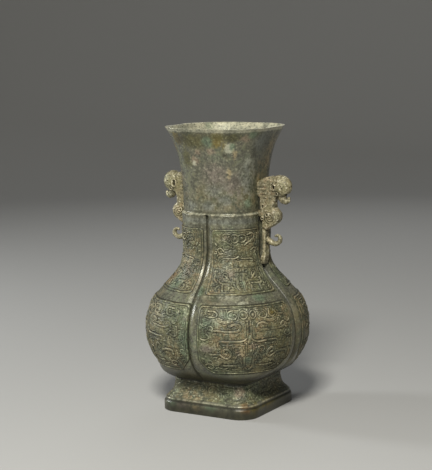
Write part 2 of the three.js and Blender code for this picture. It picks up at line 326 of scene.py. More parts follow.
@dataclass
class VesselForm:
    """Form that every cast surface of the body follows, in millimetres."""

    foot_half: float = 78.0
    foot_waist_half: float = 63.5
    belly_half: float = 117.6
    neck_waist_half: float = 59.2
    neck_half: float = 57.3
    mouth_half: float = 82.0
    foot_band_top: float = 12.5
    foot_ridge: float = 16.5
    belly_start: float = 49.0
    belly_z: float = 122.0
    neck_waist_z: float = 248.0
    collar_z: float = 293.5
    collar_step: float = 2.5
    height: float = 420.0
    wall: float = 4.0
    foot_wall: float = 4.5
    floor: float = 5.0
    foot_round: float = 0.37
    belly_round: float = 0.92
    neck_round: float = 0.75
    groove_depth: float = 5.0
    groove_half: float = 8.5
    groove_run: float = 16.0
    handle_drop: float = 4.5
    foot_line: float = 15.6
    foot_ledge: float = 18.9
    sway_depth: float = 0.28
    belly_panel: Panel = Panel(71.0, 170.5, 38.0, 27.0)
    shoulder_panel: Panel = Panel(184.0, 274.0, 34.5, 34.5)

    @cached_property
    def outline(self) -> Array:
        """Side outline as half width and height: straight foot band, then four cubic curves.

        Returns:
            Points of the outline, one row each, from the foot up.
        """
        foot, waist, belly = self.foot_half, self.foot_waist_half, self.belly_half
        ridge, start, widest = self.foot_ridge, self.belly_start, self.belly_z
        neck, narrow, step = self.neck_waist_z, self.neck_waist_half, self.collar_z + self.collar_step
        low, high, mouth = self.collar_z, self.height, self.mouth_half
        return np.vstack([
            [[foot, 0.0], [foot, self.foot_band_top]],
            bezier(
                (foot - 1.6, ridge),
                (blend(waist, foot, 0.63), blend(ridge, start, 0.31)),
                (waist, blend(ridge, start, 0.14)),
                (waist, start - 0.4),
            ),
            bezier(
                (waist + 1.5, start),
                (blend(waist, belly, 0.456), blend(start, widest, 0.14)),
                (belly, blend(start, widest, 0.4)),
                (belly, widest),
            ),
            bezier(
                (belly, widest),
                (belly, blend(widest, neck, 0.555)),
                (narrow, blend(widest, neck, 0.484)),
                (narrow, neck),
            )[1:],
            [[narrow + 0.4, low]],
            bezier(
                (self.neck_half, step),
                (self.neck_half, blend(low, high, 0.503)),
                (blend(self.neck_half, mouth, 0.21), blend(low, high, 0.755)),
                (mouth, high),
            ),
        ])

    def half(self, z: Array) -> Array:
        """Half width of the plan at a height, read off the outline in straight steps."""
        return np.interp(z, self.outline[:, 1], self.outline[:, 0])

    def roundness(self, z: Array) -> Array:
        """Corner radius as a share of the half width: square foot, nearly round belly, square neck.

        Args:
            z: Heights.

        Returns:
            One share for each height.
        """
        belly = smooth(z, self.belly_start - 2.0, blend(self.belly_start, self.belly_z, 0.41))
        waist = self.neck_waist_z
        neck = smooth(z, blend(self.belly_z, waist, 0.635), blend(waist, self.collar_z, 0.57))
        return blend(blend(self.foot_round, self.belly_round, belly), self.neck_round, neck)

    def groove(self, z: Array) -> Array:
        """Depth of the valleys, which starts at the belly's foot and ends at the collar."""
        run = np.clip((z - self.belly_start) / self.groove_run, 0.0, 1.0)
        return self.groove_depth * run * (1.0 - smooth(z, self.collar_z - 0.5, self.collar_z + 1.0))

    def section(self, angle: Array, half: Array, share: Array, groove: Array, groove_half: float) -> Array:
        """Distance from the axis to a rounded square with valleys in the middle of its faces.

        Along a face it is half / cos(f), where f is the angle to the face's middle. Round a corner it is
        where the ray meets the corner's circle. A valley takes off its depth times 1 - offset / half width.

        Args:
            angle: Angle to the lobe's middle.
            half: Half width of the square.
            share: Corner radius as a share of the half width.
            groove: Depth of the valleys.
            groove_half: Half width of the valleys.

        Returns:
            Distances, in the shape that the arguments make together.
        """
        to_face = QUARTER - np.abs(angle)
        centre = half * (1.0 - share)
        total = np.cos(to_face) + np.sin(to_face)
        corner = centre * total + np.sqrt(np.maximum((half * share) ** 2 - centre**2 * (2.0 - total**2), 0.0))
        radius = np.where(half * np.tan(to_face) <= centre, half / np.cos(to_face), corner)
        return radius - groove * np.clip(1.0 - radius * np.sin(to_face) / groove_half, 0.0, 1.0) ** 1.15

    def bands(self, z: Array) -> Array:
        """Small steps of the outline: the foot's ridge, the hollowed plain bands and the collar's edge.

        Args:
            z: Heights.

        Returns:
            What they add to the distance from the axis.
        """
        ridge = 0.9 * bell(z, self.foot_ledge, 1.2) - 0.7 * bell(z, self.foot_line, 1.1)
        middle = 0.5 * (self.belly_panel.high + self.shoulder_panel.low)
        hollow = bell(z, middle, 4.5) + bell(z, 0.5 * (self.shoulder_panel.high + self.collar_z), 4.5)
        collar = 0.5 * bell(z, self.collar_z - 0.6, 1.3) - 0.35 * bell(z, self.collar_z + 4.0, 1.6)
        return ridge - 0.6 * hollow + collar

    def outer(self, angle: Array, z: Array) -> Array:
        """Distance from the axis to the plain outer surface, with the small steps added to the section.

        Args:
            angle: Angle to the lobe's middle.
            z: Heights.

        Returns:
            Distances, in the shape that the arguments make together.
        """
        plain = self.section(angle, self.half(z), self.roundness(z), self.groove(z), self.groove_half)
        to_face = QUARTER - np.abs(angle)
        crease = 1.3 * smooth(-plain * np.sin(to_face), -2.3, -0.7) * self.groove(z) / self.groove_depth
        return plain + self.bands(z) - crease

    def inner(self, angle: Array, z: Array) -> Array:
        """Distance from the axis to the hollow's wall: outer half width less wall, drawn in at the floor.

        Args:
            angle: Angle to the lobe's middle.
            z: Heights.

        Returns:
            Distances, in the shape that the arguments make together.
        """
        rounding = np.sqrt(np.clip((z - self.belly_start - self.floor) / 6.0, 0.0, 1.0))
        half = (self.half(z) - self.wall) * blend(0.82, 1.0, rounding)
        return self.section(angle, half, self.roundness(z), 0.8 * self.groove(z), 1.5 * self.groove_half)

    def foot_inner(self, angle: Array, z: Array) -> Array:
        """Distance from the axis to the inside of the foot: the outer half width less the foot's wall."""
        return self.section(angle, self.half(z) - self.foot_wall, self.foot_round, 0.0, self.groove_half)

    def sway(self, points: Array) -> Array:
        """How far the hand-made surface is drawn in at each point: depth * (ripple - 1), nowhere outward."""
        return self.sway_depth * (Ripple(11, 90.0)(points) - 1.0)


def turns(columns: int, crowding: float = 0.0) -> tuple[Array, Array]:
    """Columns right round the axis, at angles QUARTER * (t + crowding * sin(pi * t) / pi) for t from -1 to 1.

    Args:
        columns: Number of columns, the same for each lobe.
        crowding: How far they crowd towards the valleys, from 0 to 1.

    Returns:
        Number of each column's lobe, and its angle to the lobe's middle.
    """
    per_lobe = columns // LOBES
    t = np.linspace(-1.0, 1.0, per_lobe, endpoint=False)
    angle = QUARTER * (t + crowding * np.sin(math.pi * t) / math.pi)
    return np.repeat(np.arange(LOBES), per_lobe), np.tile(angle, LOBES)


def placed(lobe: Value, angle: Array, radius: Array, z: Value) -> Array:
    """Points at an angle to a lobe's middle: radius * cos, radius * sin and z."""
    turn = QUARTER + lobe * 2 * QUARTER + angle
    return np.stack(np.broadcast_arrays(radius * np.cos(turn), radius * np.sin(turn), z), axis=-1)


# Cast ornament


class Mark(Enum):
    """Kinds of raised ornament."""

    BAND = "band of even width"
    LEAF = "band drawn out to a point at its end"
    RING = "ring round its point"
    BOSS = "round knob on its point"


@dataclass(frozen=True)
class Stroke:
    """One raised stroke of an ornament in the panel's own millimetres, drawn on both sides of the middle."""

    points: tuple[Point, ...]
    width: float = 3.0
    rise: float = 1.5
    mark: Mark = Mark.BAND
    radius: float = 0.0

    def gap(self, across: Array, up: Array) -> Array:
        """Distance to the stroke's edge, below zero inside it.

        Args:
            across: Distance of each point from the panel's middle.
            up: Height of each point.

        Returns:
            One distance for each point.
        """
        if self.mark in (Mark.RING, Mark.BOSS):
            x, z = self.points[0]
            away = np.hypot(across - x, up - z)
            rim = away - self.radius
            return rim if self.mark is Mark.BOSS else np.abs(rim) - self.width / 2
        distance, along = line_distance(across, up, flowing(self.points))
        taper = 1.0 - 0.75 * along**2 if self.mark is Mark.LEAF else 1.0
        return distance - self.width / 2 * taper


def ring(x: float, z: float, radius: float, width: float = 2.0, rise: float = 1.4) -> Stroke:
    """Ring of the given radius round a point."""
    return Stroke(((x, z),), width, rise, Mark.RING, radius)


def boss(x: float, z: float, radius: float, rise: float = 1.5) -> Stroke:
    """Round knob on a point."""
    return Stroke(((x, z),), 0.0, rise, Mark.BOSS, radius)


@dataclass(frozen=True)
class Ornament:
    """Strokes over a ground of small spirals, as a height above the ground for each place of a panel."""

    strokes: tuple[Stroke, ...]
    cell: float = 8.4
    pitch: float = 4.0
    spiral_rise: float = 1.0
    broad_width: float = 6.0
    grooved_width: float = 3.1

    def spirals(self, across: Array, up: Array) -> Array:
        """Squared spirals in a loose grid of cells: the wave cos(2 pi r / pitch - turn) round each middle.

        Args:
            across: Distance of each point from the panel's middle.
            up: Height of each point.

        Returns:
            Heights from 0 to the spirals' rise.
        """
        row = np.floor(up / self.cell)
        shifted = across + 0.5 * self.cell * (row % 2)
        column = np.floor(shifted / self.cell)
        chance = np.sin(12.9 * row + 4.7 * column)
        x = shifted - (column + 0.5) * self.cell - 0.9 * chance
        z = up - (row + 0.5) * self.cell - 0.9 * np.cos(7.3 * row - 3.1 * column)
        hand = np.where((row + column) % 2 > 0.5, 1.0, -1.0)
        radius = (x**4 + z**4) ** 0.25
        wave = np.cos(2 * math.pi * radius / self.pitch - hand * np.arctan2(z, x) - 2.0 * chance)
        edge = 1.0 - smooth(radius, 0.47 * self.cell, 0.56 * self.cell)
        return self.spiral_rise * (0.75 + 0.25 * chance) * smooth(wave, -0.3, 0.5) * edge

    def height(self, across: Array, up: Array) -> Array:
        """Height above the ground: the highest stroke at each place, and spirals where there is none.

        A stroke is flat on top, with flanks that rise by a smooth step. A wide one has a groove down its
        middle, and a broad one carries fainter spirals.

        Args:
            across: Distance of each point from the panel's middle, either way.
            up: Height of each point.

        Returns:
            One height for each point.
        """
        raised, broad, clear = np.zeros_like(up), np.zeros_like(up), np.full_like(up, 99.0)
        for stroke in self.strokes:
            gap = stroke.gap(across, up)
            top = stroke.rise * smooth(-gap, -0.28, 0.42)
            if stroke.mark is Mark.BOSS:
                top = stroke.rise * np.sqrt(np.clip(1.0 - (1.0 + gap / stroke.radius) ** 2, 0.0, 1.0))
            elif stroke.width > self.broad_width:
                broad = np.maximum(broad, top - 0.3 * bell(gap, -1.7, 0.4))
                continue
            elif stroke.width > self.grooved_width:
                top = top - 0.35 * bell(gap + stroke.width / 2, 0.0, 0.42)
            raised, clear = np.maximum(raised, top), np.minimum(clear, gap)
        curls = self.spirals(across, up) * (1.0 - 0.5 * smooth(broad, 0.1, 0.5)) * smooth(clear, 0.5, 1.1)
        return np.maximum(raised, broad * smooth(clear, 0.2, 0.9) + curls)


BELLY_ORNAMENT = Ornament((
    Stroke(((9, 129.8), (26, 129.6), (43, 129.8)), 9.4, 0.85),
    Stroke(((48, 113.2), (60, 112.6), (73, 112.6)), 12.0, 0.8),
    Stroke(((7, 144), (7, 134)), 7.6, 0.7),
    Stroke(((36, 91.5), (19, 91)), 7.0, 0.8),
    Stroke(((50, 88), (45, 90.5), (39, 94)), 8.4, 1.1),
    Stroke(((44, 151), (34, 149.4), (25, 151)), 4.2, 1.0),
    Stroke(((56, 149.5), (66, 147.5)), 5.0, 0.8),
    Stroke(((62, 76.4), (46, 75.8), (30, 76)), 3.2, 1.0),
    Stroke(
        ((2.8, 150), (2.8, 130), (5, 124.8), (10, 121.8), (24, 121.4), (40, 121.6), (44, 119.4), (44.4, 115)),
        2.8,
        1.6,
    ),
    Stroke(((0, 119), (0, 129)), 4.6, 1.4),
    Stroke(
        (
            *((56, 138), (50, 136.6), (38, 136.6), (24, 136.4), (16, 137.2)),
            *((12.6, 141.5), (15.5, 146), (22, 146.2), (28, 144)),
        ),
        3.4,
        1.7,
    ),
    ring(55.5, 140.5, 3.4),
    ring(7, 158.5, 5.2, 2.0, 1.5),
    boss(7, 158.5, 2.3, 1.5),
    Stroke(
        ((14, 164.5), (24, 164.5), (30, 160), (28, 154.5), (21, 153), (17.5, 156.5), (20.5, 159.5)),
        2.6,
        1.4,
    ),
    boss(22.3, 158.6, 1.7, 1.4),
    Stroke(((60, 164), (51, 164), (46.5, 160.5), (49, 156), (59, 155.2)), 3.0, 1.5),
    Stroke(((36, 166), (34, 158), (38, 153.5), (44, 155)), 2.4, 1.2),
    Stroke(((70, 161), (71, 148), (66, 143), (61, 146)), 2.6, 1.3),
    Stroke(((71, 139), (71.4, 127), (65, 124), (58, 128), (61, 132)), 2.6, 1.3),
    Stroke(
        (
            *((63, 97.5), (61.5, 102.4), (54, 103), (44, 102.6), (38.5, 98.6), (33, 96), (28.4, 98.4)),
            *((26.8, 104), (30, 109.4), (35.5, 109.4), (36.8, 105.2), (33.4, 103.4)),
        ),
        3.4,
        1.6,
    ),
    Stroke(((38, 84.6), (28, 84), (18, 84.6)), 3.2, 1.5),
    Stroke(((66, 84), (60, 86.5), (54, 84.5), (53, 80.5), (58, 78.6), (62, 80.4)), 2.4, 1.3),
    Stroke(((46, 82), (38, 79), (31, 80.6)), 2.4, 1.2),
    Stroke(((24, 78), (14, 77.5)), 2.4, 1.2),
    Stroke(((6.6, 100), (6.4, 90), (5.4, 83), (1.6, 79)), 3.2, 1.6),
    Stroke(((13.4, 113), (11.4, 104), (9.4, 96)), 4.2, 1.6, Mark.LEAF),
    Stroke(((4.4, 118), (5.6, 110), (3.8, 101)), 2.2, 1.3),
    Stroke(((7, 100.5), (11, 103.4), (17, 101), (19.5, 96.5)), 2.8, 1.5),
    ring(18.5, 110.5, 4.6, 1.8, 1.2),
    Stroke(((75, 119), (75, 108)), 2.2, 1.3),
    Stroke(((70, 104), (71, 96), (68, 90)), 2.6, 1.2),
    Stroke(((24, 117.4), (31, 115.6), (38, 116.4)), 2.2, 1.1),
))

SHOULDER_ORNAMENT = Ornament((
    Stroke(((3, 224), (14, 224.6), (24, 223.4)), 9.0, 0.75),
    Stroke(((6, 240), (16, 239)), 7.0, 0.6),
    Stroke(((21, 253.6), (29, 251.4)), 6.4, 0.8),
    ring(5.2, 260.5, 6.0, 2.4, 1.5),
    boss(5.2, 260.5, 2.4, 1.5),
    Stroke(((14, 266), (22, 267), (28, 263), (26, 257), (19, 256), (16.5, 260)), 2.6, 1.4),
    Stroke(((10, 250), (16, 254.6), (25, 259)), 2.8, 1.4),
    Stroke(((24, 243), (29, 246.6), (33, 243.6), (31, 239)), 2.6, 1.5),
    Stroke(((36, 266), (37, 256), (34, 250)), 2.4, 1.2),
    Stroke(((34.4, 232), (32, 237), (26, 239.4)), 2.6, 1.3),
    Stroke(((0, 234.6), (3.5, 232.4), (9, 231.2), (20, 231.2), (26, 230), (29.5, 226.4)), 2.6, 1.6),
    Stroke(((0, 209.6), (4, 210.6), (8, 209.4)), 3.6, 1.6),
    Stroke(((5.4, 209), (3.8, 203), (4.8, 196), (3, 191)), 3.6, 1.6),
    Stroke(((24.6, 210.5), (20, 207.5), (16.4, 204.6)), 2.8, 1.5),
    ring(21.5, 208.5, 4.0, 1.8, 1.2),
    Stroke(((28.5, 204), (28, 199.4), (23, 198), (15, 197.6)), 2.6, 1.5),
    Stroke(((23.6, 198), (23.6, 189.5)), 3.0, 1.6),
    Stroke(((30.5, 189.6), (31.4, 193.6), (28.6, 195.4)), 2.4, 1.3),
    Stroke(((36, 215), (36.5, 205), (33, 200)), 2.4, 1.3),
    Stroke(((14, 189.4), (10.6, 191), (12, 194.4)), 2.2, 1.2),
))

FOOT_ORNAMENT = Ornament(
    (
        Stroke(
            ((4, 26), (12, 24.5), (22, 25), (30, 28), (31, 33), (26, 36), (20, 34.5), (19, 31), (22.5, 30)),
            2.4,
            0.75,
        ),
        ring(5.5, 32, 2.8, 1.6, 0.7),
        ring(38, 31, 3.0, 1.8, 0.75),
        Stroke(((36, 41), (28, 42), (18, 41.5), (10, 39.5), (8, 36)), 2.2, 0.7),
        Stroke(((40, 37), (47, 41.5), (56, 41.5), (62, 37.5), (60, 33), (54, 33), (52, 36)), 2.4, 0.75),
        Stroke(((44, 26), (52, 27.5), (60, 25.5), (66.8, 25.5)), 2.2, 0.7),
        Stroke(((66.8, 36), (66.8, 30)), 2.4, 0.6),
        *(boss(across, 45.2, 1.3, 0.8) for across in (5.0, 14.0, 24.0, 34.0, 44.0, 54.0, 63.0)),
    ),
    cell=5.6,
    pitch=2.9,
    spiral_rise=0.4,
)


# Shader nodes


class Wire:
    """Output of a node, with arithmetic that adds Math nodes behind it."""

    def __init__(self, bench: "Bench", socket: bpy.types.NodeSocket) -> None:
        """Holds a socket and the bench whose nodes it belongs to."""
        self.bench = bench
        self.socket = socket

    def _math(self, operation: str, *values: "Wire | float") -> "Wire":
        """Math node of the given operation on the given values."""
        return self.bench.node("ShaderNodeMath", {"operation": operation}, dict(enumerate(values)))

    def __add__(self, other: "Wire | float") -> "Wire":
        """Sum of the two."""
        return self._math("ADD", self, other)

    __radd__ = __add__

    def __mul__(self, other: "Wire | float") -> "Wire":
        """Product of the two."""
        return self._math("MULTIPLY", self, other)

    __rmul__ = __mul__

    def __sub__(self, other: "Wire | float") -> "Wire":
        """This less the other."""
        return self._math("SUBTRACT", self, other)

    def __rsub__(self, other: float) -> "Wire":
        """The other less this."""
        return self._math("SUBTRACT", other, self)

    def step(self, low: float, high: float) -> "Wire":
        """Smooth step from 0 at low to 1 at high, or falling where low is above high.

        Args:
            low: Value at which it is 0.
            high: Value at which it is 1.

        Returns:
            The step.
        """
        if low > high:
            return 1.0 - self.step(high, low)
        inputs = {"Value": self, "From Min": low, "From Max": high}
        return self.bench.node("ShaderNodeMapRange", {"interpolation_type": "SMOOTHSTEP"}, inputs)


class Bench:
    """Node tree of one material, on which nodes are made."""

    def __init__(self, name: str) -> None:
        """Makes an empty material of the given name.

        Args:
            name: Name of the material.
        """
        self.material = bpy.data.materials.new(name)
        self.material.use_nodes = True
        self.tree = self.material.node_tree
        self.tree.nodes.clear()

    def made(self, kind: str, settings: dict, inputs: dict) -> bpy.types.Node:
        """Makes a node, sets it and joins it up.

        Args:
            kind: Type of the node.
            settings: Properties to set first.
            inputs: Values or wires of its sockets, by name or number.

        Returns:
            The node.
        """
        made = self.tree.nodes.new(kind)
        for label, value in settings.items():
            setattr(made, label, value)
        for label, value in inputs.items():
            if isinstance(value, Wire):
                self.tree.links.new(value.socket, made.inputs[label])
            elif isinstance(value, tuple) and len(value) == 3 and made.inputs[label].type == "RGBA":
                made.inputs[label].default_value = (*value, 1.0)
            else:
                made.inputs[label].default_value = value
        return made

    def node(self, kind: str, settings: dict, inputs: dict, output: int | str = 0) -> Wire:
        """Wire of one output, by its name or number, of a node made from its type, settings and inputs."""
        return Wire(self, self.made(kind, settings, inputs).outputs[output])

    def surface(self, inputs: dict) -> bpy.types.Material:
        """Gives the material a Principled surface with the given inputs and hands it back.

        Args:
            inputs: Values or wires of the surface's sockets, by name.

        Returns:
            The material.
        """
        shader = self.node("ShaderNodeBsdfPrincipled", {}, inputs, "BSDF")
        self.made("ShaderNodeOutputMaterial", {}, {"Surface": shader})
        return self.material

    def tint(self, base: "Wire | Colour", over: "Wire | Colour", share: "Wire | float") -> Wire:
        """Colour between two, or the one laid over the other by a share."""
        settings = {"data_type": "RGBA", "blend_type": "MIX"}
        return self.node("ShaderNodeMix", settings, {0: share, 6: base, 7: over}, 2)

    def shaded(self, base: Wire, share: Wire) -> Wire:
        """Colour times a grey of the given strength.

        Args:
            base: The colour.
            share: The strength.

        Returns:
            The shaded colour.
        """
        grey = self.node("ShaderNodeCombineColor", {}, {0: share, 1: share, 2: share})
        settings = {"data_type": "RGBA", "blend_type": "MULTIPLY"}
        return self.node("ShaderNodeMix", settings, {0: 1.0, 6: base, 7: grey}, 2)

    def noise(self, place: Wire, scale: float, detail: float = 3.0, rough: float = 0.55) -> Wire:
        """Soft noise round 0.5, with scale features a metre."""
        inputs = {"Vector": place, "Scale": scale, "Detail": detail, "Roughness": rough}
        return self.node("ShaderNodeTexNoise", {}, inputs)

    def mark(self, name: str) -> Wire:
        """Value that the mesh carries under a name."""
        return self.node("ShaderNodeAttribute", {"attribute_name": name}, {}, "Fac")


class Stain(Enum):
    """Kinds of patina patch, each with the name that a mesh carries it by; the dark and pale kinds also serve
    as painted shade and painted highlight.
    """

    OCHRE = "ochre"
    OLIVE = "olive"
    ROSE = "rose"
    # Pale patina, the pale rim, and in places a painted highlight.
    PALE_AND_HIGHLIGHT = "pale"
    VERDIGRIS = "verdigris"
    MAUVE = "mauve"
    TAN = "tan"
    RUST = "rust"
    SLATE = "slate"
    # Dark patina, and in places painted shade.
    DARK = "dark"


@dataclass(frozen=True)
class Patch:
    """Patch of another patina colour, some of them painted shade and painted highlight, at an angle round the
    axis in degrees and a height, with its half sizes.
    """

    stain: Stain
    angle: float
    height: float
    wide: float
    tall: float
    strength: float = 1.0

    def cover(self, points: Array) -> Array:
        """How much of the patch lies at each point: strength * exp(-d * d), d half sizes from its middle.

        Args:
            points: Points in millimetres, one row each.

        Returns:
            One value for each point.
        """
        reach = np.hypot(points[:, 0], points[:, 1])
        turn = np.arctan2(points[:, 1], points[:, 0]) - math.radians(self.angle)
        across = reach * (np.mod(turn + math.pi, 2 * math.pi) - math.pi)
        away = (across / self.wide) ** 2 + ((points[:, 2] - self.height) / self.tall) ** 2
        return self.strength * np.exp(-away)


# Angle, height, half width, half height and strength of each patch that the photograph shows
# Some dark patches below are painted shade, and one pale patch a painted highlight.
PATCH_PLACES: dict[Stain, tuple[tuple[float, ...], ...]] = {
    Stain.OCHRE: (
        (-122, 405, 12, 12), (-69, 404, 12, 13), (-60, 395, 7, 7, 0.8), (-35, 14, 11, 9), (-9, 14, 30, 9),
        (-25, 160, 9, 8, 0.8), (-30, 206, 9, 12, 0.4),
    ),
    Stain.OLIVE: (
        (-99, 402, 24, 14), (-60, 409, 60, 7, 0.8), (-53, 407, 12, 8), (-24, 412, 18, 6),
        (-116, 375, 10, 20, 0.9), (12, 12, 30, 12), (-70, 57, 150, 9, 0.9), (-22, 84, 34, 22, 0.8),
        (-20, 110, 24, 24, 0.8),
    ),
    Stain.DARK: (
        # Painted shade: (4, 105) darkens the belly's right side and (-60, 61) the belly's underside; (-68,
        # 176.5) below is painted shade along the hollow band between the panels.
        (-118, 404, 14, 8, 0.7), (-60, 382, 6, 5, 0.8), (4, 105, 34, 60, 0.5), (-60, 61, 110, 7, 0.45),
        (-68, 176.5, 26, 2.6, 0.5),
    ),
    Stain.VERDIGRIS: (
        (-81, 402, 10, 9), (-31, 411, 10, 7), (-29, 311, 9, 11, 0.8), (-52, 394, 5, 6), (-125, 12, 12, 8),
        (-79, 12, 12, 7, 0.8), (-93, 113, 9, 40, 0.9), (-75, 146, 18, 14, 0.8), (-60, 158, 14, 8, 0.8),
        (-46, 94, 8, 7, 0.8), (-121, 197, 16, 16, 0.9), (-44, 197, 5, 7, 0.8), (-86, 187, 8, 8, 0.9),
        (-32, 178, 14, 6, 0.8),
    ),
    Stain.SLATE: (
        (-113, 306, 12, 10, 0.8), (-86, 308, 16, 10, 0.8), (-18, 400, 18, 18, 0.8), (-30, 350, 18, 34, 0.8),
        (-60, 285, 200, 6, 0.7), (-60, 317, 16, 10, 0.8), (-75, 330, 22, 16, 0.6), (-107, 47, 14, 3, 0.9),
        (-53, 47, 20, 3, 0.9), (-58, 240, 14, 10, 0.6),
    ),
    Stain.ROSE: (
        (-38, 406, 10, 6), (-97, 384, 6, 6), (-102, 374, 6, 8), (-77, 387, 9, 5), (-48, 37, 9, 9),
        (-52, 103, 8, 8, 0.8), (-42, 116, 7, 6, 0.8), (-55, 209, 9, 9, 0.6), (-66, 205, 9, 8, 0.5),
        (-58, 262, 18, 8, 0.6),
    ),
    Stain.MAUVE: (
        (-74, 353, 26, 26, 0.8), (-48, 339, 20, 20, 0.8), (-113, 12, 14, 7), (-75, 110, 14, 8, 0.9),
        (-113, 208, 16, 12, 0.6),
    ),
    Stain.PALE_AND_HIGHLIGHT: (
        (-56, 392, 7, 8, 1.1), (-98, 380, 5, 4, 0.8), (-104, 369, 4, 4, 0.8), (-30, 371, 8, 9, 0.6),
        # (-48, 174) is a painted highlight on the hollow band between the panels.
        (-45, 163, 30, 5, 0.45), (-72, 150, 22, 9, 0.5), (-64, 182, 34, 3, 0.6), (-48, 174, 12, 2.2, 0.8),
    ),
    Stain.TAN: (
        (-49, 382, 4, 8, 0.9), (-55, 355, 4, 10, 0.8), (15, 391, 12, 16, 0.9), (15, 369, 12, 14, 0.9),
        (-6, 345, 5, 26, 0.8), (-98, 10, 8, 6, 0.9), (-50, 106, 5, 9), (-62, 101, 12, 5, 0.7),
        (-47, 123, 6, 6, 0.7),
    ),
    Stain.RUST: ((-45, 15, 8, 10),),
}
PATCHES = tuple(Patch(stain, *place) for stain, places in PATCH_PLACES.items() for place in places)


def scattered(seed: int, count: int) -> tuple[Patch, ...]:
    """Patches strewn over the back and the sides in keeping with the front's.

    Args:
        seed: Seed of the places, sizes and kinds.
        count: Number of patches.

    Returns:
        The patches.
    """
    rng = np.random.default_rng(seed)
    kinds = tuple(Stain)
    chosen = rng.integers(0, len(kinds), count)
    angle, height = rng.uniform(30.0, 222.0, count), rng.uniform(4.0, 415.0, count)
    wide, tall = rng.uniform(5.0, 20.0, count), rng.uniform(5.0, 18.0, count)
    rows = zip(chosen, angle, height, wide, tall, rng.uniform(0.6, 1.0, count))
    return tuple(Patch(kinds[kind], *values) for kind, *values in rows)


def stained(points: Array, patches: Sequence[Patch]) -> dict[str, Array]:
    """Cover of each kind of patch at each point, as the greatest of its patches.

    Args:
        points: Points in millimetres, one row each.
        patches: The patches.

    Returns:
        Values by the name of the stain.
    """
    covers = {stain.value: np.zeros(len(points)) for stain in Stain}
    for patch in patches:
        name = patch.stain.value
        covers[name] = np.maximum(covers[name], patch.cover(points))
    return covers


class Noise(Enum):
    """Noises of the patina, each with its features a metre, its detail and its roughness."""

    SLOW = (13.0, 3.0, 0.55)
    DRIFT = (37.0, 4.0, 0.6)
    MOTTLE = (120.0, 4.0, 0.65)
    FLECK = (340.0, 3.0, 0.6)
    GRAIN = (820.0, 3.0, 0.7)


STAIN_COLOURS: dict[Stain, Colour] = {
    Stain.OCHRE: (0.155, 0.115, 0.022),
    Stain.OLIVE: (0.085, 0.08, 0.03),
    Stain.ROSE: (0.23, 0.18, 0.125),
    # Pale: patina, and painted highlight.
    Stain.PALE_AND_HIGHLIGHT: (0.4, 0.4, 0.3),
    Stain.VERDIGRIS: (0.12, 0.165, 0.105),
    Stain.MAUVE: (0.16, 0.135, 0.112),
    Stain.TAN: (0.31, 0.25, 0.14),
    Stain.RUST: (0.17, 0.085, 0.025),
    Stain.SLATE: (0.16, 0.168, 0.142),
    # Dark: patina, and painted shade.
    Stain.DARK: (0.04, 0.038, 0.026),
}


@dataclass(frozen=True)
class Patina:
    """Finish of old bronze: layers of patina that follow relief, hollows, slow noise and the patches, with
    painted highlight on raised edges and painted shade in hollows.
    """

    name: str
    ground: Colour
    cool: Colour
    olive: Colour
    # Pale colour of wear, and of painted highlight on raised upper edges.
    wear_and_highlight: Colour
    # Dark colour of flecks, and of dirt and painted shade in hollows.
    deep: Colour
    green: Colour
    earth: Colour
    pale: Colour
    roughness: float
    metallic: float
    wear_and_highlight_share: float = 0.5
    fleck_share: float = 0.8
    stain_share: float = 0.8
    dirt_and_shade_share: float = 0.9
    bump: float = 0.0005
    specular: float = 0.45
    stains: tuple[Stain, ...] = ()

    @cached_property
    def material(self) -> bpy.types.Material:
        """Material of layers, each a colour laid over the last by a share.

        Slow noise mixes the ground's colours, and stains with ragged edges lie over them, the dark and pale
        ones in places painted shade and painted highlight. The raised parts take the worn colour in patches,
        partly wear and partly painted highlight, and the hollows the deep one, partly dirt and partly painted
        shade; flecks strew the whole.

        Returns:
            The finished material.
        """
        bench = Bench(self.name)
        place = bench.node("ShaderNodeTexCoord", {}, {}, "Object")
        relief, hollow, plain = (bench.mark(name) for name in ("relief", "hollow", "plain"))
        slow, drift, mottle, fleck, grain = (bench.noise(place, *kind.value) for kind in Noise)
        ragged = (mottle - 0.5) * 1.3 + (fleck - 0.5) * 0.6
        stains = {stain: (bench.mark(stain.value) + ragged).step(0.2, 0.85) for stain in self.stains}
        wear_and_highlight = 0.2 + 0.8 * (drift * 0.5 + mottle * 0.5).step(0.44, 0.58)
        flecks = (1.0 - plain * 0.6) * self.fleck_share
        colour = self.ground
        for over, share in (
            (self.olive, (drift * 0.6 + mottle * 0.4).step(0.44, 0.56)),
            (self.cool, plain * (slow * 0.7 + mottle * 0.3).step(0.36, 0.56)),
            (self.earth, mottle.step(0.48, 0.62) * (0.85 - plain * 0.5)),
            (self.green, (mottle * 0.5 + slow * 0.5).step(0.5, 0.6) * (0.6 - plain * 0.25)),
            *((STAIN_COLOURS[stain], cover * self.stain_share) for stain, cover in stains.items()),
            # Pale colour on raised parts: wear, and on the panels' upper edges a painted highlight as if lit
            # from above.
            (self.wear_and_highlight, relief * wear_and_highlight * self.wear_and_highlight_share),
            (self.pale, fleck.step(0.56, 0.7) * flecks),
            (self.deep, fleck.step(0.44, 0.3) * flecks),
            # Deep colour in hollows, creases and grooves: partly dirt, partly painted shade, with painted
            # shade over each panel stroke as if lit from above.
            (self.deep, (hollow + (fleck - 0.5) * 0.5).step(0.1, 0.75) * self.dirt_and_shade_share),
        ):
            colour = bench.tint(colour, over, share)
        tone = (mottle * 0.35 + drift * 0.35 + fleck * 0.3).step(0.38, 0.62)
        height = grain * 0.4 + fleck * 0.7 + mottle * 0.9
        bump = {"Strength": 0.6, "Distance": self.bump, "Height": height}
        return bench.surface({
            "Base Color": bench.shaded(colour, 0.6 + tone * 0.75),
            "Roughness": self.roughness + (mottle - 0.5) * 0.4 + hollow * 0.15 - plain * 0.2,
            "Metallic": self.metallic + relief * 0.1,
            "Normal": bench.node("ShaderNodeBump", {}, bump, "Normal"),
            "Specular IOR Level": self.specular,
        })


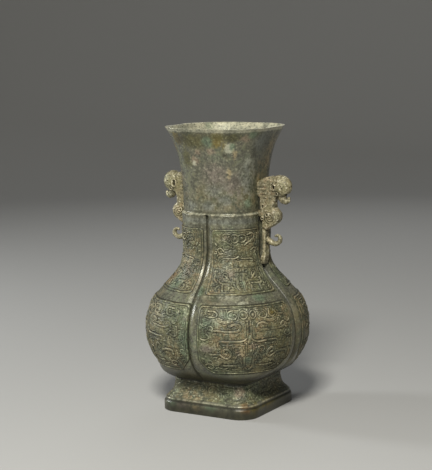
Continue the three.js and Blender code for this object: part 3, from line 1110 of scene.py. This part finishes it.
def carried(vertices: Array, marks: dict[str, Array], patches: Sequence[Patch]) -> dict[str, Array]:
    """Everything that the patina reads off a piece.

    Args:
        vertices: Vertices in millimetres, one row each.
        marks: Values of the first vertices by name. The vertices past them, out of sight, have none.
        patches: Patches of patina.

    Returns:
        Values of all vertices by name.
    """
    count = len(vertices)
    padded = {name: np.concatenate([row.ravel(), np.zeros(count - row.size)]) for name, row in marks.items()}
    return {"plain": np.zeros(count), **padded, **stained(vertices, patches)}


# Pieces of the vessel


def level(start: Value, end: Array, shares: Sequence[float], z: float) -> list[tuple[Array, float]]:
    """Flat rings at one height, each at a share of the way from the start's radius to the end's."""
    return [(blend(start, end, share), z) for share in shares]


@dataclass
class Body:
    """Plain cast body: foot, wall, mouth and hollow in one closed shell."""

    form: VesselForm
    patches: tuple[Patch, ...]
    columns: int = 352
    crowding: float = 0.7
    dented_from: float = 370.0
    pull: float = 0.8
    sag: float = 0.6
    tilt: float = 0.7
    waver: float = 0.25

    @cached_property
    def outer_heights(self) -> Array:
        """Heights of the outer rings, close together at edges.

        Returns:
            Heights from the foot to the mouth.
        """
        band, belly = self.form.foot_band_top, self.form.belly_start
        collar, top = self.form.collar_z, self.form.height
        return np.concatenate([
            [0.5, 1.2, 2.5, 5.0, 7.5, 10.0, 12.0],
            np.arange(band + 0.7, band + 9.5, 0.75),
            np.arange(band + 10.5, belly - 1.5, 2.6),
            belly + np.array([-0.8, -0.4, 0.0, 0.4, 1.2, 2.5, 4.5]),
            np.arange(belly + 7.0, collar - 4.5, 3.0),
            collar + np.array([-3.0, -2.0, -1.3, -0.6, 0.0, 0.6, 1.2, 1.8, 2.5, 3.4, 4.6, 6.2]),
            np.arange(collar + 9.0, top - 5.0, 3.1),
            top - np.array([3.5, 2.0, 1.0, 0.35]),
        ])

    def build(self) -> bpy.types.Object:
        """Builds the shell, walking from the foot's ceiling out over foot, belly and mouth to the floor.

        Returns:
            The piece.
        """
        form, top = self.form, self.form.height
        lobe, angle = turns(self.columns, self.crowding)
        outer, inner, foot = (partial(reach, angle) for reach in (form.outer, form.inner, form.foot_inner))
        ceiling, base = form.belly_start - form.floor, form.belly_start + form.floor
        wall = np.arange(top - 10.0, base + 8.0, -8.0)
        down = np.concatenate([top - np.array([0.6, 2.0, 5.0]), wall, base + np.array([6.0, 3.5, 1.5, 0.4])])
        rings = [
            *level(0.0, foot(ceiling), (0.0, 0.3, 0.62, 0.86, 0.96), ceiling),
            (foot(ceiling - 0.8) - 0.3, ceiling - 0.8),
            *((foot(z), z) for z in (40.0, 34.0, 28.0, 22.0, 16.0, 10.0, 4.0, 0.8)),
            *level(foot(0.5), outer(0.5), (0.12, 0.5, 0.88), 0.0),
            *((outer(z), z) for z in self.outer_heights),
            *level(inner(top), outer(top), (0.86, 0.5, 0.14), top),
            *((inner(z), z) for z in down),
            *level(0.0, inner(base), (0.97, 0.8, 0.5, 0.25, 0.0), base),
        ]
        radius, z = (np.array(part) for part in zip(*rings))
        points = self.aged(placed(lobe, angle, radius, z[:, None]))
        vertices, faces = shell(points)
        return make_piece("vessel_body", vertices, faces, self.marks(points, vertices, angle))

    def aged(self, points: Array) -> Array:
        """Points drawn in a little by slow waves, with the mouth's left side drawn in and its far side sunk.

        Args:
            points: Points of the regular form.

        Returns:
            Points of the hand-made form, which nowhere stands out past the regular one.
        """
        reach = np.hypot(points[..., 0], points[..., 1])
        safe = np.maximum(reach, 1.0)
        mouth = smooth(points[..., 2], self.dented_from, self.form.height)
        sway = self.form.sway(points) * smooth(reach, 20.0, 60.0)
        sway -= mouth * self.pull * (1.0 - points[..., 0] / safe)
        moved = points.copy()
        moved[..., :2] *= (1.0 + sway / safe)[..., None]
        uneven = self.tilt * points[..., 1] / safe + self.waver * Ripple(5, 45.0)(points)
        moved[..., 2] -= mouth * (self.sag + uneven)
        moved[..., 2] = np.clip(moved[..., 2], 0.0, self.form.height)
        return moved

    def marks(self, points: Array, vertices: Array, angle: Array) -> dict[str, Array]:
        """Values that the patina reads: raised edges, a pale rim partly painted as highlight, hollows
        darkened partly as painted shade, where the surface is plain, and the patches.

        Args:
            points: Points of the shell by ring and column.
            vertices: Its vertices, one row each.
            angle: Angle of each column to its lobe's middle.

        Returns:
            One value for each vertex, the two poles last.
        """
        form, top, start = self.form, self.form.height, self.form.belly_start
        body = points[1:-1]
        z = body[..., 2]
        reach = np.hypot(body[..., 0], body[..., 1])
        offset = reach * np.sin(QUARTER - np.abs(angle))
        valley = form.groove(z) / form.groove_depth
        outside = reach > form.inner(angle, np.maximum(z, start + form.floor)) + 1.5
        # Pale band at the rim: partly the rim's own pale colour, partly painted highlight on the rim and the
        # upper inner wall.
        lip = np.where(outside, smooth(z, top - 6.5, top - 4.0), smooth(z, top - 16.0, top - 8.0))
        ledge = bell(z, form.collar_z + 1.2, 1.3) + 0.8 * bell(z, form.foot_ledge, 1.0)
        # Darkening along the valley crease: partly dirt, partly painted shade.
        creases = 1.1 * smooth(-offset, -2.0, -0.9) * valley + 0.25 * bell(offset, -0.8, 3.4) * valley
        # Painted shade: darker towards the floor, and most just under the belly's overhang.
        painted_low_shade = 0.42 * (1.0 - smooth(z, 4.0, 21.0)) + 0.25 * (1.0 - smooth(z, start + 11.0, start + 51.0))
        painted_low_shade = (painted_low_shade + 0.55 * bell(z, start + 6.0, 9.0)) * (z > 0.2)
        # Darkening along the grooves at the foot line, under the belly's start and above the collar step:
        # partly dirt, partly painted shade.
        low_lines = ((0.9, form.foot_line, 1.0), (0.7, start - 0.7, 1.2), (0.4, form.collar_z + 4.4, 1.4))
        lines = sum(depth * bell(z, middle, width) for depth, middle, width in low_lines)
        # Inside, the wall is painted darker below the rim as shade.
        hollow = np.where(outside, creases + lines + painted_low_shade, 0.5 * (1.0 - lip))
        edges = ledge * outside
        rows = {"relief": np.maximum(edges, lip), "hollow": hollow, "plain": 1.0 * outside}
        marks = carried(vertices, rows, self.patches)
        pale = marks[Stain.PALE_AND_HIGHLIGHT.value][: lip.size]
        np.maximum(pale, np.maximum(1.15 * lip, 0.75 * edges).ravel(), out=pale)
        return marks


@dataclass
class ReliefPanel:
    """Cast panel on a lobe: a double border round an ornament, laid on the wall as a closed slab."""

    name: str
    form: VesselForm
    panel: Panel
    ornament: Ornament
    lobe: int
    mean_radius: float
    columns: int
    rows: int
    patches: tuple[Patch, ...]
    reach: tuple[float, float] = (0.0, 0.0)
    ground: float = 0.62
    skirt: float = 1.3
    sunk: float = 0.8
    back: int = 17
    warp: float = 0.9
    fillet: float = 6.0
    ridge_rise: float = 1.6
    line_rise: float = 0.7
    ornament_from: float = 4.2

    def border(self, inside: Array) -> Array:
        """Height of the border at a distance inside the edge: a wide ridge, a groove and a fine line.

        Args:
            inside: Distance inside the panel's edge, below zero outside it.

        Returns:
            One height above the wall for each point.
        """
        ridge = self.ridge_rise * smooth(inside, -0.5, 0.5) * smooth(-inside, -2.5, -1.7)
        line = (self.ground + self.line_rise) * smooth(inside, 2.9, 3.4) * smooth(-inside, -4.5, -3.9)
        base = blend(-self.sunk, self.ground - 0.25, smooth(inside, -self.skirt, 0.0))
        return np.maximum(np.maximum(ridge - self.sunk * (inside < -0.4), line), base)

    def build(self) -> bpy.types.Object:
        """Builds the panel.

        Returns:
            The piece.
        """
        form, panel, mean = self.form, self.panel, self.mean_radius
        z = np.linspace(panel.low - self.skirt, panel.high + self.skirt, self.rows)[:, None]
        ends = [sign * panel.side(z) + math.radians(more) for sign, more in zip((-1.0, 1.0), self.reach)]
        skirt = self.skirt / mean
        angle = blend(ends[0] - skirt, ends[1] + skirt, np.linspace(0.0, 1.0, self.columns))
        up = z + np.zeros_like(angle)
        base = form.outer(angle, z)
        points = placed(self.lobe, angle, base, up)
        edge = 0.35 * Ripple(41, 30.0)(points)
        sides = np.minimum((angle - ends[0]) * mean, (ends[1] - angle) * mean)
        corner = np.minimum(up - panel.low, panel.high - up)
        inside = melted(sides, corner, self.fillet) + edge
        middle = sum(self.reach) * math.radians(0.5) * mean
        across = np.abs(angle * mean - middle + self.warp * Ripple(43, 24.0)(points))
        drawn = self.ornament.height(across, up + self.warp * Ripple(47, 24.0)(points))
        drawn = drawn * smooth(inside, self.ornament_from, self.ornament_from + 1.0)
        height = np.maximum(self.border(inside), np.where(inside > 2.4, self.ground + drawn, -9.0))
        wear = np.minimum(0.84 + 0.36 * Ripple(31, 26.0)(points), 1.06)
        lifted = np.where(height > self.ground, self.ground + (height - self.ground) * wear, height)
        front = placed(self.lobe, angle, base + lifted + form.sway(points), up)
        coarse = blend(angle[:, :1], angle[:, -1:], np.linspace(0.0, 1.0, self.back))
        rear = placed(self.lobe, coarse, form.outer(coarse, z) - 1.5, z + np.zeros_like(coarse))
        vertices, faces = slab(front, rear, ring=False)

        step = max(2, round(1.4 * self.rows / (panel.high - panel.low)))
        low = softened(lifted, step) - lifted
        padded = np.pad(lifted, ((step, step), (0, 0)), mode="edge")
        above, below = padded[2 * step :], padded[: -2 * step]
        # Raised parts take the pale colour, most on their upper edges: partly wear, partly painted highlight
        # as if lit from above.
        relief = smooth(lifted - self.ground, 0.3, 1.5) * (0.25 + smooth(lifted - above, 0.1, 0.9))
        # Hollows and the foot of the border darken: partly dirt, partly painted shade.
        hollow = np.clip(low / 0.5, 0.0, 0.8) + 0.5 * bell(inside, -0.6, 0.6)
        # Painted shade in the groove just above each stroke, as if lit from above.
        hollow = hollow + 0.45 * smooth(below - lifted, 0.2, 1.0)
        relief = relief * smooth(inside, -0.4, 0.2)
        marks = carried(vertices, {"relief": relief, "hollow": hollow}, self.patches)
        return make_piece(self.name, vertices, faces, marks)


@dataclass
class FootFrieze:
    """Low scrolls cast round the foot between its ridge and the belly, as one closed ring."""

    form: VesselForm
    patches: tuple[Patch, ...]
    ornament: Ornament = FOOT_ORNAMENT
    low: float = 20.6
    above: float = 1.4
    mean_radius: float = 85.0
    columns: int = 640
    rows: int = 42
    back: int = 64
    sunk: float = 1.6
    margin: float = 0.6

    def ring(self, columns: int, z: Array, lift: Value = 0.0) -> Array:
        """Points right round the foot in a number of columns, at a lift above its surface."""
        lobe, angle = turns(columns)
        return placed(lobe, angle, self.form.outer(angle, z) + lift, z)

    def build(self) -> bpy.types.Object:
        """Builds the frieze.

        Returns:
            The piece.
        """
        high = self.form.belly_start - self.above
        z = np.linspace(self.low, high, self.rows)[:, None]
        angle = turns(self.columns)[1]
        up = z + 0.0 * angle
        inside = np.minimum(up - self.low, high - up)
        across = np.abs(angle) * self.mean_radius + 0.0 * z
        drawn = self.ornament.height(across, up) * smooth(inside, 0.8, 1.8)
        height = 0.85 * smooth(inside, 0.0, 1.0) - self.margin + drawn
        plain = self.ring(self.columns, z)
        lift = height * (1.0 + 0.15 * Ripple(77, 24.0)(plain)) + self.form.sway(plain)
        front, rear = self.ring(self.columns, z, lift), self.ring(self.back, z, -self.sunk)
        vertices, faces = slab(front, rear, ring=True)
        low = softened(height, 2) - height
        # Scrolls take the pale colour of wear; hollows darken, partly dirt and partly painted shade.
        relief, hollow = 0.35 * smooth(drawn, 0.3, 0.8), 0.6 * np.clip(low / 0.32, 0.0, 1.0)
        marks = carried(vertices, {"relief": relief, "hollow": hollow}, self.patches)
        return make_piece("foot_frieze", vertices, faces, marks)


# Handles


def netted(field: Array, origin: Array, cell: float) -> tuple[Array, Array]:
    """Closed surface where a field of distances is zero.

    Each cell that the surface crosses gets one vertex, the mean of the crossings on the cell's edges, and
    each grid edge that it crosses gets one face between the four cells round that edge.

    Args:
        field: Distances on a grid, below zero inside.
        origin: Place of the grid's first point.
        cell: Distance between the grid's points.

    Returns:
        Vertices and faces.
    """
    size = np.array(field.shape) - 1
    total, count = np.zeros((*size, 3)), np.zeros(tuple(size))
    crossings = []
    for axis in range(3):
        one, two = (axis + 1) % 3, (axis + 2) % 3
        here = np.take(field, np.arange(size[axis]), axis=axis)
        there = np.take(field, np.arange(1, size[axis] + 1), axis=axis)
        crossed = (here < 0) != (there < 0)
        share = np.where(crossed, here / np.where(crossed, here - there, 1.0), 0.0)
        crossings.append((crossed, here < 0))
        for shift_one in (0, 1):
            for shift_two in (0, 1):
                window = [slice(None)] * 3
                window[one] = slice(shift_one, shift_one + size[one])
                window[two] = slice(shift_two, shift_two + size[two])
                hit = crossed[tuple(window)]
                count += hit
                total[..., axis] += share[tuple(window)] * hit
                total[..., one] += shift_one * hit
                total[..., two] += shift_two * hit
    used = count > 0
    number = np.full(tuple(size), -1)
    number[used] = np.arange(used.sum())
    index = np.stack(np.nonzero(used), axis=1)
    vertices = origin + cell * (index + total[used] / count[used][:, None])
    faces = []
    for axis, (crossed, within) in enumerate(crossings):
        one, two = (axis + 1) % 3, (axis + 2) % 3
        places = np.stack(np.nonzero(crossed), axis=1)
        inner = within[crossed]
        corners = []
        for shift_one, shift_two in ((0, 0), (1, 0), (1, 1), (0, 1)):
            moved = places.copy()
            moved[:, one] -= 1 - shift_one
            moved[:, two] -= 1 - shift_two
            corners.append(number[tuple(moved.T)])
        face = np.stack(corners, axis=1)
        faces += [face[inner], face[~inner][:, ::-1]]
    return vertices, np.vstack(faces)


def melted(first: Array, second: Array, reach: float) -> Array:
    """Union of two distance fields with a fillet: the lesser, less h * h * reach / 4 where they are close."""
    h = np.maximum(reach - np.abs(first - second), 0.0) / reach
    return np.minimum(first, second) - h * h * reach / 4


def cut(first: Array, second: Array, reach: float = 0.8) -> Array:
    """The first form less the second, with a soft edge."""
    return -melted(-first, second, reach)


@dataclass
class Handle:
    """Animal-head handle: head with a curled trunk on an arched neck, chest, strap and open hook.

    Rounded limbs that melt into each other have no single profile or pair of parameters, so the handle is the
    zero surface of a field of distances. Its frame has x outward from the neck's face and z up from the
    handle's base.
    """

    name: str
    node: str
    side: int
    reach: float
    form: VesselForm
    half: float = 8.5
    eye: tuple[float, float, float, float] = (27.7, 43.6, 1.8, 2.7)
    cell: float = 0.62
    low_corner: Place = (-5.0, -14.0, -74.0)
    high_corner: Place = (56.0, 14.0, 64.5)
    seed: int = 3
    head: tuple[Place, Place] = ((34.0, 0.0, 44.8), (17.6, 11.4, 16.4))
    chest: tuple[Place, Place] = ((23.0, 0.0, 1.5), (11.6, 10.4, 12.0))
    rings: tuple[Place, ...] = ((38.9, 46.0, 1.9), (33.0, 34.6, 2.1), (8.0, -2.4, 2.0), (16.5, 3.5, 2.6))
    pits: tuple[Place, ...] = ((4.4, 24.4, 1.2), (8.6, 15.0, 1.9))
    brow: Place = (34.0, 43.0, 11.0)
    jaw: Place = (45.5, 32.6, 3.4)
    curl: Point = (20.0, -1.0)
    curl_pitch: float = 3.4
    rib_pitch: float = 5.4
    strap_x: float = 6.9
    back_outline: tuple[Point, ...] = (
        *((-3.3, 49), (2.7, 53), (10.7, 57), (20.7, 59.5), (30.7, 51), (32.7, 36), (28.7, 28), (26.2, 22)),
        *((26.2, 14), (28.7, 10), (33.2, 4), (33.2, -3), (28.7, -9), (21.7, -14), (12.7, -19.5)),
        *((6.9, -17), (6.9, -3), (-2.3, 1), (-2.3, 7), (3.1, 10), (3.1, 27), (-2.3, 31)),
    )
    strap_outline: tuple[Point, ...] = (
        *((6.9, 3), (6.9, -53), (1.9, -65), (-3.3, -70), (8.5, -70), (11.5, -57), (11.5, 3)),
    )
    trunk: tuple[Place, ...] = (
        *((33.5, 37, 6.4), (35, 30, 6.3), (38.4, 25.4, 6.0)),
        *((42, 23.4, 4.9), (45.4, 24.2, 3.7), (47, 27.8, 2.5)),
    )
    hook: tuple[Place, ...] = (
        *((10, -33, 4.4), (17, -37, 4.4), (21, -39, 4.0), (25.5, -39.8, 3.7), (29.4, -38.6, 3.4)),
        *((32.6, -35.8, 3.3), (33.6, -32, 3.1), (32, -28.8, 2.7), (29, -27.2, 2.3), (25.8, -28.2, 2.0)),
    )

    @cached_property
    def grid(self) -> tuple[Array, Array, Array, Array]:
        """Lowest corner of the field's grid, and the x, y and z of its points."""
        axes = [np.arange(low, high, self.cell) for low, high in zip(self.low_corner, self.high_corner)]
        return (np.array(self.low_corner), *np.meshgrid(*axes, indexing="ij"))

    def drawn(self, points: Sequence[Point]) -> Array:
        """Outline with the part beyond the strap drawn in or out by the animal's own reach.

        Args:
            points: Corners of the outline.

        Returns:
            The corners moved, one row each.
        """
        given = np.array(points, float)
        given[:, 0] = np.where(given[:, 0] > self.strap_x, given[:, 0] * self.reach, given[:, 0])
        return given

    def plate(self, outline: Array, half: float, rounding: float) -> Array:
        """Distance to a flat outline given thickness, with edges rounded over.

        Args:
            outline: Corners of the outline.
            half: Half the thickness.
            rounding: Radius of the edges.

        Returns:
            The field.
        """
        _, x, y, z = self.grid
        flat_x, flat_z = x[:, 0, :], z[:, 0, :]
        closed = np.vstack([outline, outline[:1]])
        gap = line_distance(flat_x, flat_z, closed)[0]
        start, end = closed[:-1], closed[1:]
        above = (start[:, 1] > flat_z[..., None]) != (end[:, 1] > flat_z[..., None])
        slope = (end[:, 0] - start[:, 0]) / np.where(end[:, 1] == start[:, 1], 1.0, end[:, 1] - start[:, 1])
        right = flat_x[..., None] < start[:, 0] + (flat_z[..., None] - start[:, 1]) * slope
        within = (above & right).sum(axis=-1) % 2 == 1
        flat = np.where(within, -gap, gap)[:, None, :] + rounding
        deep = np.abs(y) - half + rounding
        outside = np.hypot(np.maximum(flat, 0.0), np.maximum(deep, 0.0))
        return outside + np.minimum(np.maximum(flat, deep), 0.0) - rounding

    def egg(self, centre: Place, radii: Place) -> Array:
        """Distance to an egg shape: k * (k - 1) / k2, from the scaled lengths k and k2.

        Args:
            centre: Middle of the egg.
            radii: Its radii along x, y and z.

        Returns:
            The field.
        """
        _, *place = self.grid
        scaled = [(axis - middle) / radius for axis, middle, radius in zip(place, centre, radii)]
        k = np.sqrt(sum(axis**2 for axis in scaled))
        k2 = np.sqrt(sum((axis / radius) ** 2 for axis, radius in zip(scaled, radii)))
        return k * (k - 1.0) / np.maximum(k2, 1e-6)

    def limb(self, line: Sequence[Place], flat: float = 1.0) -> Array:
        """Distance to a bar along a line in the handle's plane, whose radius goes evenly from point to point.

        Args:
            line: Place and radius of each point.
            flat: How much thinner the bar is across the plane.

        Returns:
            The field.
        """
        _, x, y, z = self.grid
        field = np.full(x.shape, 99.0)
        for (x0, z0, r0), (x1, z1, r1) in zip(line[:-1], line[1:]):
            run_x, run_z = x1 - x0, z1 - z0
            share = np.clip(((x - x0) * run_x + (z - z0) * run_z) / (run_x**2 + run_z**2), 0.0, 1.0)
            gap = np.sqrt((x - x0 - share * run_x) ** 2 + (z - z0 - share * run_z) ** 2 + (y / flat) ** 2)
            field = np.minimum(field, gap - blend(r0, r1, share))
        return field

    def field(self) -> Array:
        """Distances to the whole handle: parts melted together, then eye slots, rings, pits, brow and jaw.

        Ribs on the neck are a cosine of height. The mane on the chest is a spiral, the cosine of distance
        less angle round its middle.

        Returns:
            The field on the grid.
        """
        _, x, y, z = self.grid
        reach, side = self.reach, np.abs(y)
        total = self.plate(self.drawn(self.back_outline), self.half, 4.5)
        for (out, middle, up), (long, wide, tall) in (self.head, self.chest):
            total = melted(total, self.egg((out * reach, middle, up), (long * reach, wide, tall)), 3.5)
        total = melted(total, self.limb([(a * reach, b, c) for a, b, c in self.trunk], 0.9), 1.6)
        total = melted(total, self.plate(self.drawn(self.strap_outline), 7.0, 1.6), 1.5)
        total = melted(total, self.limb(self.hook, 1.1), 1.2)

        eye_x, eye_z, eye_half, eye_tall = self.eye
        beyond = np.maximum(np.abs(z - eye_z) - eye_tall + eye_half, 0.0)
        slot = np.hypot(x - eye_x * reach, beyond) - eye_half
        total = melted(total, np.hypot(slot - 1.3, side - 11.5) - 0.6, 0.8)
        total = cut(total, np.maximum(slot, 7.0 - side))
        for ring_x, ring_z, radius in self.rings:
            away = np.hypot(x - ring_x * reach, z - ring_z)
            surface = np.interp(ring_x, (5.0, 16.0, 33.0, 40.0), (8.6, 10.2, 11.2, 10.6))
            total = melted(total, np.hypot(away - radius, side - surface) - 0.75, 0.7)
        for pit_x, pit_z, radius in self.pits:
            away = np.hypot(x - pit_x, (z - pit_z) * 0.8)
            total = cut(total, np.hypot(away, side - 8.6) - radius)
        brow_x, brow_z, radius = self.brow
        total = cut(total, np.hypot(np.hypot(x - brow_x * reach, z - brow_z) - radius, side - 10.2) - 0.6)
        ribs = np.cos(2 * math.pi * (z - 27.0) / self.rib_pitch) * (1.0 - smooth(x, 14.0, 18.0))
        ribbed = smooth(z, 23.0, 27.0) * (1.0 - smooth(z, 48.0, 52.0)) * smooth(side, 5.0, 7.5)
        total = total + 0.24 * ribs * ribbed
        jaw_x, jaw_z, radius = self.jaw
        total = cut(total, np.hypot(x - jaw_x * reach, (z - jaw_z) * 1.6) - radius, 1.4)
        across, up = x - self.curl[0] * reach, z - self.curl[1]
        away = np.hypot(across, up)
        mane = np.cos(2 * math.pi * away / self.curl_pitch - np.arctan2(up, across))
        total = total + 0.3 * mane * smooth(side, 5.5, 8.0) * (1.0 - smooth(away, 8.0, 11.0))
        return total + 0.16 * Ripple(self.seed, 11.0, 10)(np.stack([x, y, z], axis=-1))

    def build(self) -> bpy.types.Object:
        """Builds the handle and sets it on its side of the neck.

        Returns:
            The piece.
        """
        low = self.grid[0]
        field = self.field()
        vertices, faces = netted(field, low, self.cell)
        index = np.clip(np.round((vertices - low) / self.cell).astype(int), 0, np.array(field.shape) - 1)
        bulge = (softened(field, 3) - field)[tuple(index.T)]
        # Bulges lighter and hollows darker: partly wear and dirt, partly painted highlight and painted shade.
        marks = {
            "relief": np.clip(bulge / 0.45, 0.0, 1.0),
            "hollow": np.clip(-bulge / 0.32, 0.0, 1.0),
            "plain": np.zeros(len(vertices)),
        }
        placed_at = np.stack([
            self.side * (self.form.neck_half + vertices[:, 0]),
            self.side * vertices[:, 1],
            self.form.collar_z - self.form.handle_drop + vertices[:, 2],
        ], axis=1)
        return make_piece(self.name, placed_at, [faces], marks)


# Studio


@dataclass(frozen=True)
class PhotoCamera:
    """Camera at the photograph's viewing angle, in millimetres and for a frame of 432 by 470."""

    place: Place = (1074.0, -1844.0, 576.5)
    forward: Place = (-0.5039, 0.851, -0.148)
    right: Place = (0.8615, 0.5075, -0.0152)
    focal: float = 1454.63
    frame_tall: float = 470.0
    sensor: float = 36.0
    clip: Point = (0.05, 50.0)

    def build(self) -> None:
        """Makes the camera and gives it to the scene."""
        data = bpy.data.cameras.new("photo_camera")
        data.sensor_width = self.sensor
        data.lens = self.focal / self.frame_tall * self.sensor
        data.clip_start, data.clip_end = self.clip
        forward = Vector(self.forward).normalized()
        up = Vector(self.right).cross(forward).normalized()
        turn = Matrix((forward.cross(up), up, -forward)).transposed().to_4x4()
        camera = bpy.data.objects.new("photo_camera", data)
        camera.matrix_world = Matrix.Translation(Vector(self.place) * METRE) @ turn
        bpy.context.scene.collection.objects.link(camera)
        bpy.context.scene.camera = camera


@dataclass(frozen=True)
class SoftLight:
    """Square area light in metres that looks at a point of the vessel."""

    name: str
    place: Place
    size: float
    power: float
    colour: Colour = (1.0, 1.0, 1.0)
    aim: Place = (0.0, 0.0, 0.22)

    def build(self) -> None:
        """Makes the light."""
        data = bpy.data.lights.new(self.name, "AREA")
        data.size, data.energy, data.color = self.size, self.power, self.colour
        light = bpy.data.objects.new(self.name, data)
        turn = (Vector(self.aim) - Vector(self.place)).to_track_quat("-Z", "Y").to_matrix().to_4x4()
        light.matrix_world = Matrix.Translation(self.place) @ turn
        bpy.context.scene.collection.objects.link(light)


@dataclass(frozen=True)
class Studio:
    """Pale sweep that is the same from every side, with soft light."""

    floor_colour: Colour = (0.42, 0.42, 0.41)
    flat_reach: float = 2600.0
    bend: float = 1500.0
    drop: float = 0.02
    sides: int = 96
    sky_colour: Colour = (0.95, 0.95, 0.93)
    sky_strength: float = 0.045
    lights: tuple[SoftLight, ...] = (
        SoftLight("key_light", (0.62, -1.6, 1.8), 0.5, 69.0, (1.0, 0.98, 0.92)),
        SoftLight("side_light", (-2.0, -0.4, 0.85), 0.36, 20.0, (0.97, 0.99, 1.0)),
        SoftLight("back_light", (-0.6, 2.0, 1.6), 1.2, 6.0, (0.97, 0.98, 1.0)),
    )

    def build(self) -> None:
        """Makes the sweep, a disc whose edge bends up by a quarter circle, the lights and the sky."""
        bend = np.linspace(0.0, math.pi / 2, 16)
        reach = np.concatenate([[1.0, self.flat_reach / 2], self.flat_reach + self.bend * np.sin(bend)])
        rise = np.concatenate([[0.0, 0.0], self.bend * (1.0 - np.cos(bend))])
        turn = np.linspace(0.0, 2 * math.pi, self.sides + 1)
        points = placed(0, turn, reach[:, None], rise[:, None] - self.drop)
        table = np.arange(points.shape[0] * points.shape[1]).reshape(points.shape[:2])
        hub = np.full(self.sides, table.size)
        cap = np.stack([hub, table[0, :-1], table[0, 1:]], axis=1)
        vertices = np.vstack([points.reshape(-1, 3), [[0.0, 0.0, -self.drop]]])
        floor = make_piece("studio_floor", vertices, [quads(table)[:, ::-1], cap], {})
        paper = Bench("studio_paper").surface({"Base Color": self.floor_colour, "Roughness": 0.9})
        floor.data.materials.append(paper)
        for light in self.lights:
            light.build()
        world = bpy.data.worlds.new("studio_sky")
        world.use_nodes = True
        sky = world.node_tree.nodes["Background"]
        sky.inputs["Color"].default_value = (*self.sky_colour, 1.0)
        sky.inputs["Strength"].default_value = self.sky_strength
        bpy.context.scene.world = world
        bpy.context.scene.view_settings.view_transform = "Standard"


VESSEL_PATINA = Patina(
    name="patinated_bronze",
    ground=(0.122, 0.128, 0.078),
    cool=(0.136, 0.134, 0.1),
    olive=(0.135, 0.12, 0.058),
    # Pale colour of wear, and of painted highlight on raised upper edges.
    wear_and_highlight=(0.43, 0.395, 0.27),
    # Deep colour: dark flecks, and the dirt and painted shade of hollows and creases.
    deep=(0.026, 0.025, 0.014),
    green=(0.11, 0.158, 0.088),
    earth=(0.19, 0.14, 0.075),
    pale=(0.37, 0.37, 0.25),
    roughness=0.5,
    metallic=0.15,
    stains=tuple(Stain),
)

HANDLE_PATINA = Patina(
    name="handle_bronze",
    ground=(0.23, 0.205, 0.122),
    cool=(0.2, 0.2, 0.14),
    olive=(0.19, 0.17, 0.085),
    # Pale colour of wear, and of painted highlight on the handles' bulges.
    wear_and_highlight=(0.5, 0.45, 0.31),
    # Deep colour: dark flecks, and the dirt and painted shade of hollows.
    deep=(0.035, 0.03, 0.014),
    green=(0.14, 0.165, 0.09),
    earth=(0.22, 0.15, 0.085),
    pale=(0.52, 0.49, 0.37),
    roughness=0.55,
    metallic=0.15,
    wear_and_highlight_share=0.6,
    fleck_share=1.0,
    bump=0.0007,
)


# Degrees by which the hand-laid panels of each lobe reach past their regular sides
PANEL_REACH = {
    "belly": ((0.0, 0.0), (1.0, 2.0), (-1.5, 6.2), (1.5, -1.8)),
    "shoulder": ((0.5, 0.0), (0.0, 1.5), (1.0, 5.6), (0.0, 0.6)),
}


def finished(piece: bpy.types.Object, finish: Patina) -> bpy.types.Object:
    """Gives a piece its finish and that finish's slot, lets it ride on the vessel and reports it.

    Args:
        piece: The piece.
        finish: Its finish, whose name is also its slot's.

    Returns:
        The same piece.
    """
    piece.data.materials.append(finish.material)
    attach(piece, "root")
    log.info("%s: %d faces", piece.name, len(piece.data.polygons))
    return piece


def main() -> None:
    """Builds the camera, the body, its panels, the handles and the studio."""
    logging.basicConfig(level=logging.INFO, format="%(name)s: %(message)s")
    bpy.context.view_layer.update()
    PhotoCamera().build()
    form = VesselForm(height=round(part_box("vessel")[1].z / METRE, 3))
    patches = PATCHES + scattered(29, 90)
    body = finished(Body(form, patches).build(), VESSEL_PATINA)
    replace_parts(body, "vessel")
    for lobe in range(LOBES):
        for label, panel, ornament, mean, columns, rows in (
            ("belly", form.belly_panel, BELLY_ORNAMENT, 119.0, 276, 172),
            ("shoulder", form.shoulder_panel, SHOULDER_ORNAMENT, 70.0, 148, 150),
        ):
            name, reach = f"{label}_panel_{lobe + 1}", PANEL_REACH[label][lobe]
            relief = ReliefPanel(name, form, panel, ornament, lobe, mean, columns, rows, patches, reach)
            finished(relief.build(), VESSEL_PATINA)
    finished(FootFrieze(form, patches).build(), VESSEL_PATINA)
    for handle in (
        Handle("left_animal_handle", "left_handle", -1, 0.95, form, eye=(27.7, 43.0, 2.0, 4.4), seed=8),
        Handle("right_animal_handle", "right_handle", 1, 1.02, form),
    ):
        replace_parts(finished(handle.build(), HANDLE_PATINA), handle.node)
    Studio().build()


if __name__ == "__main__":
    main()
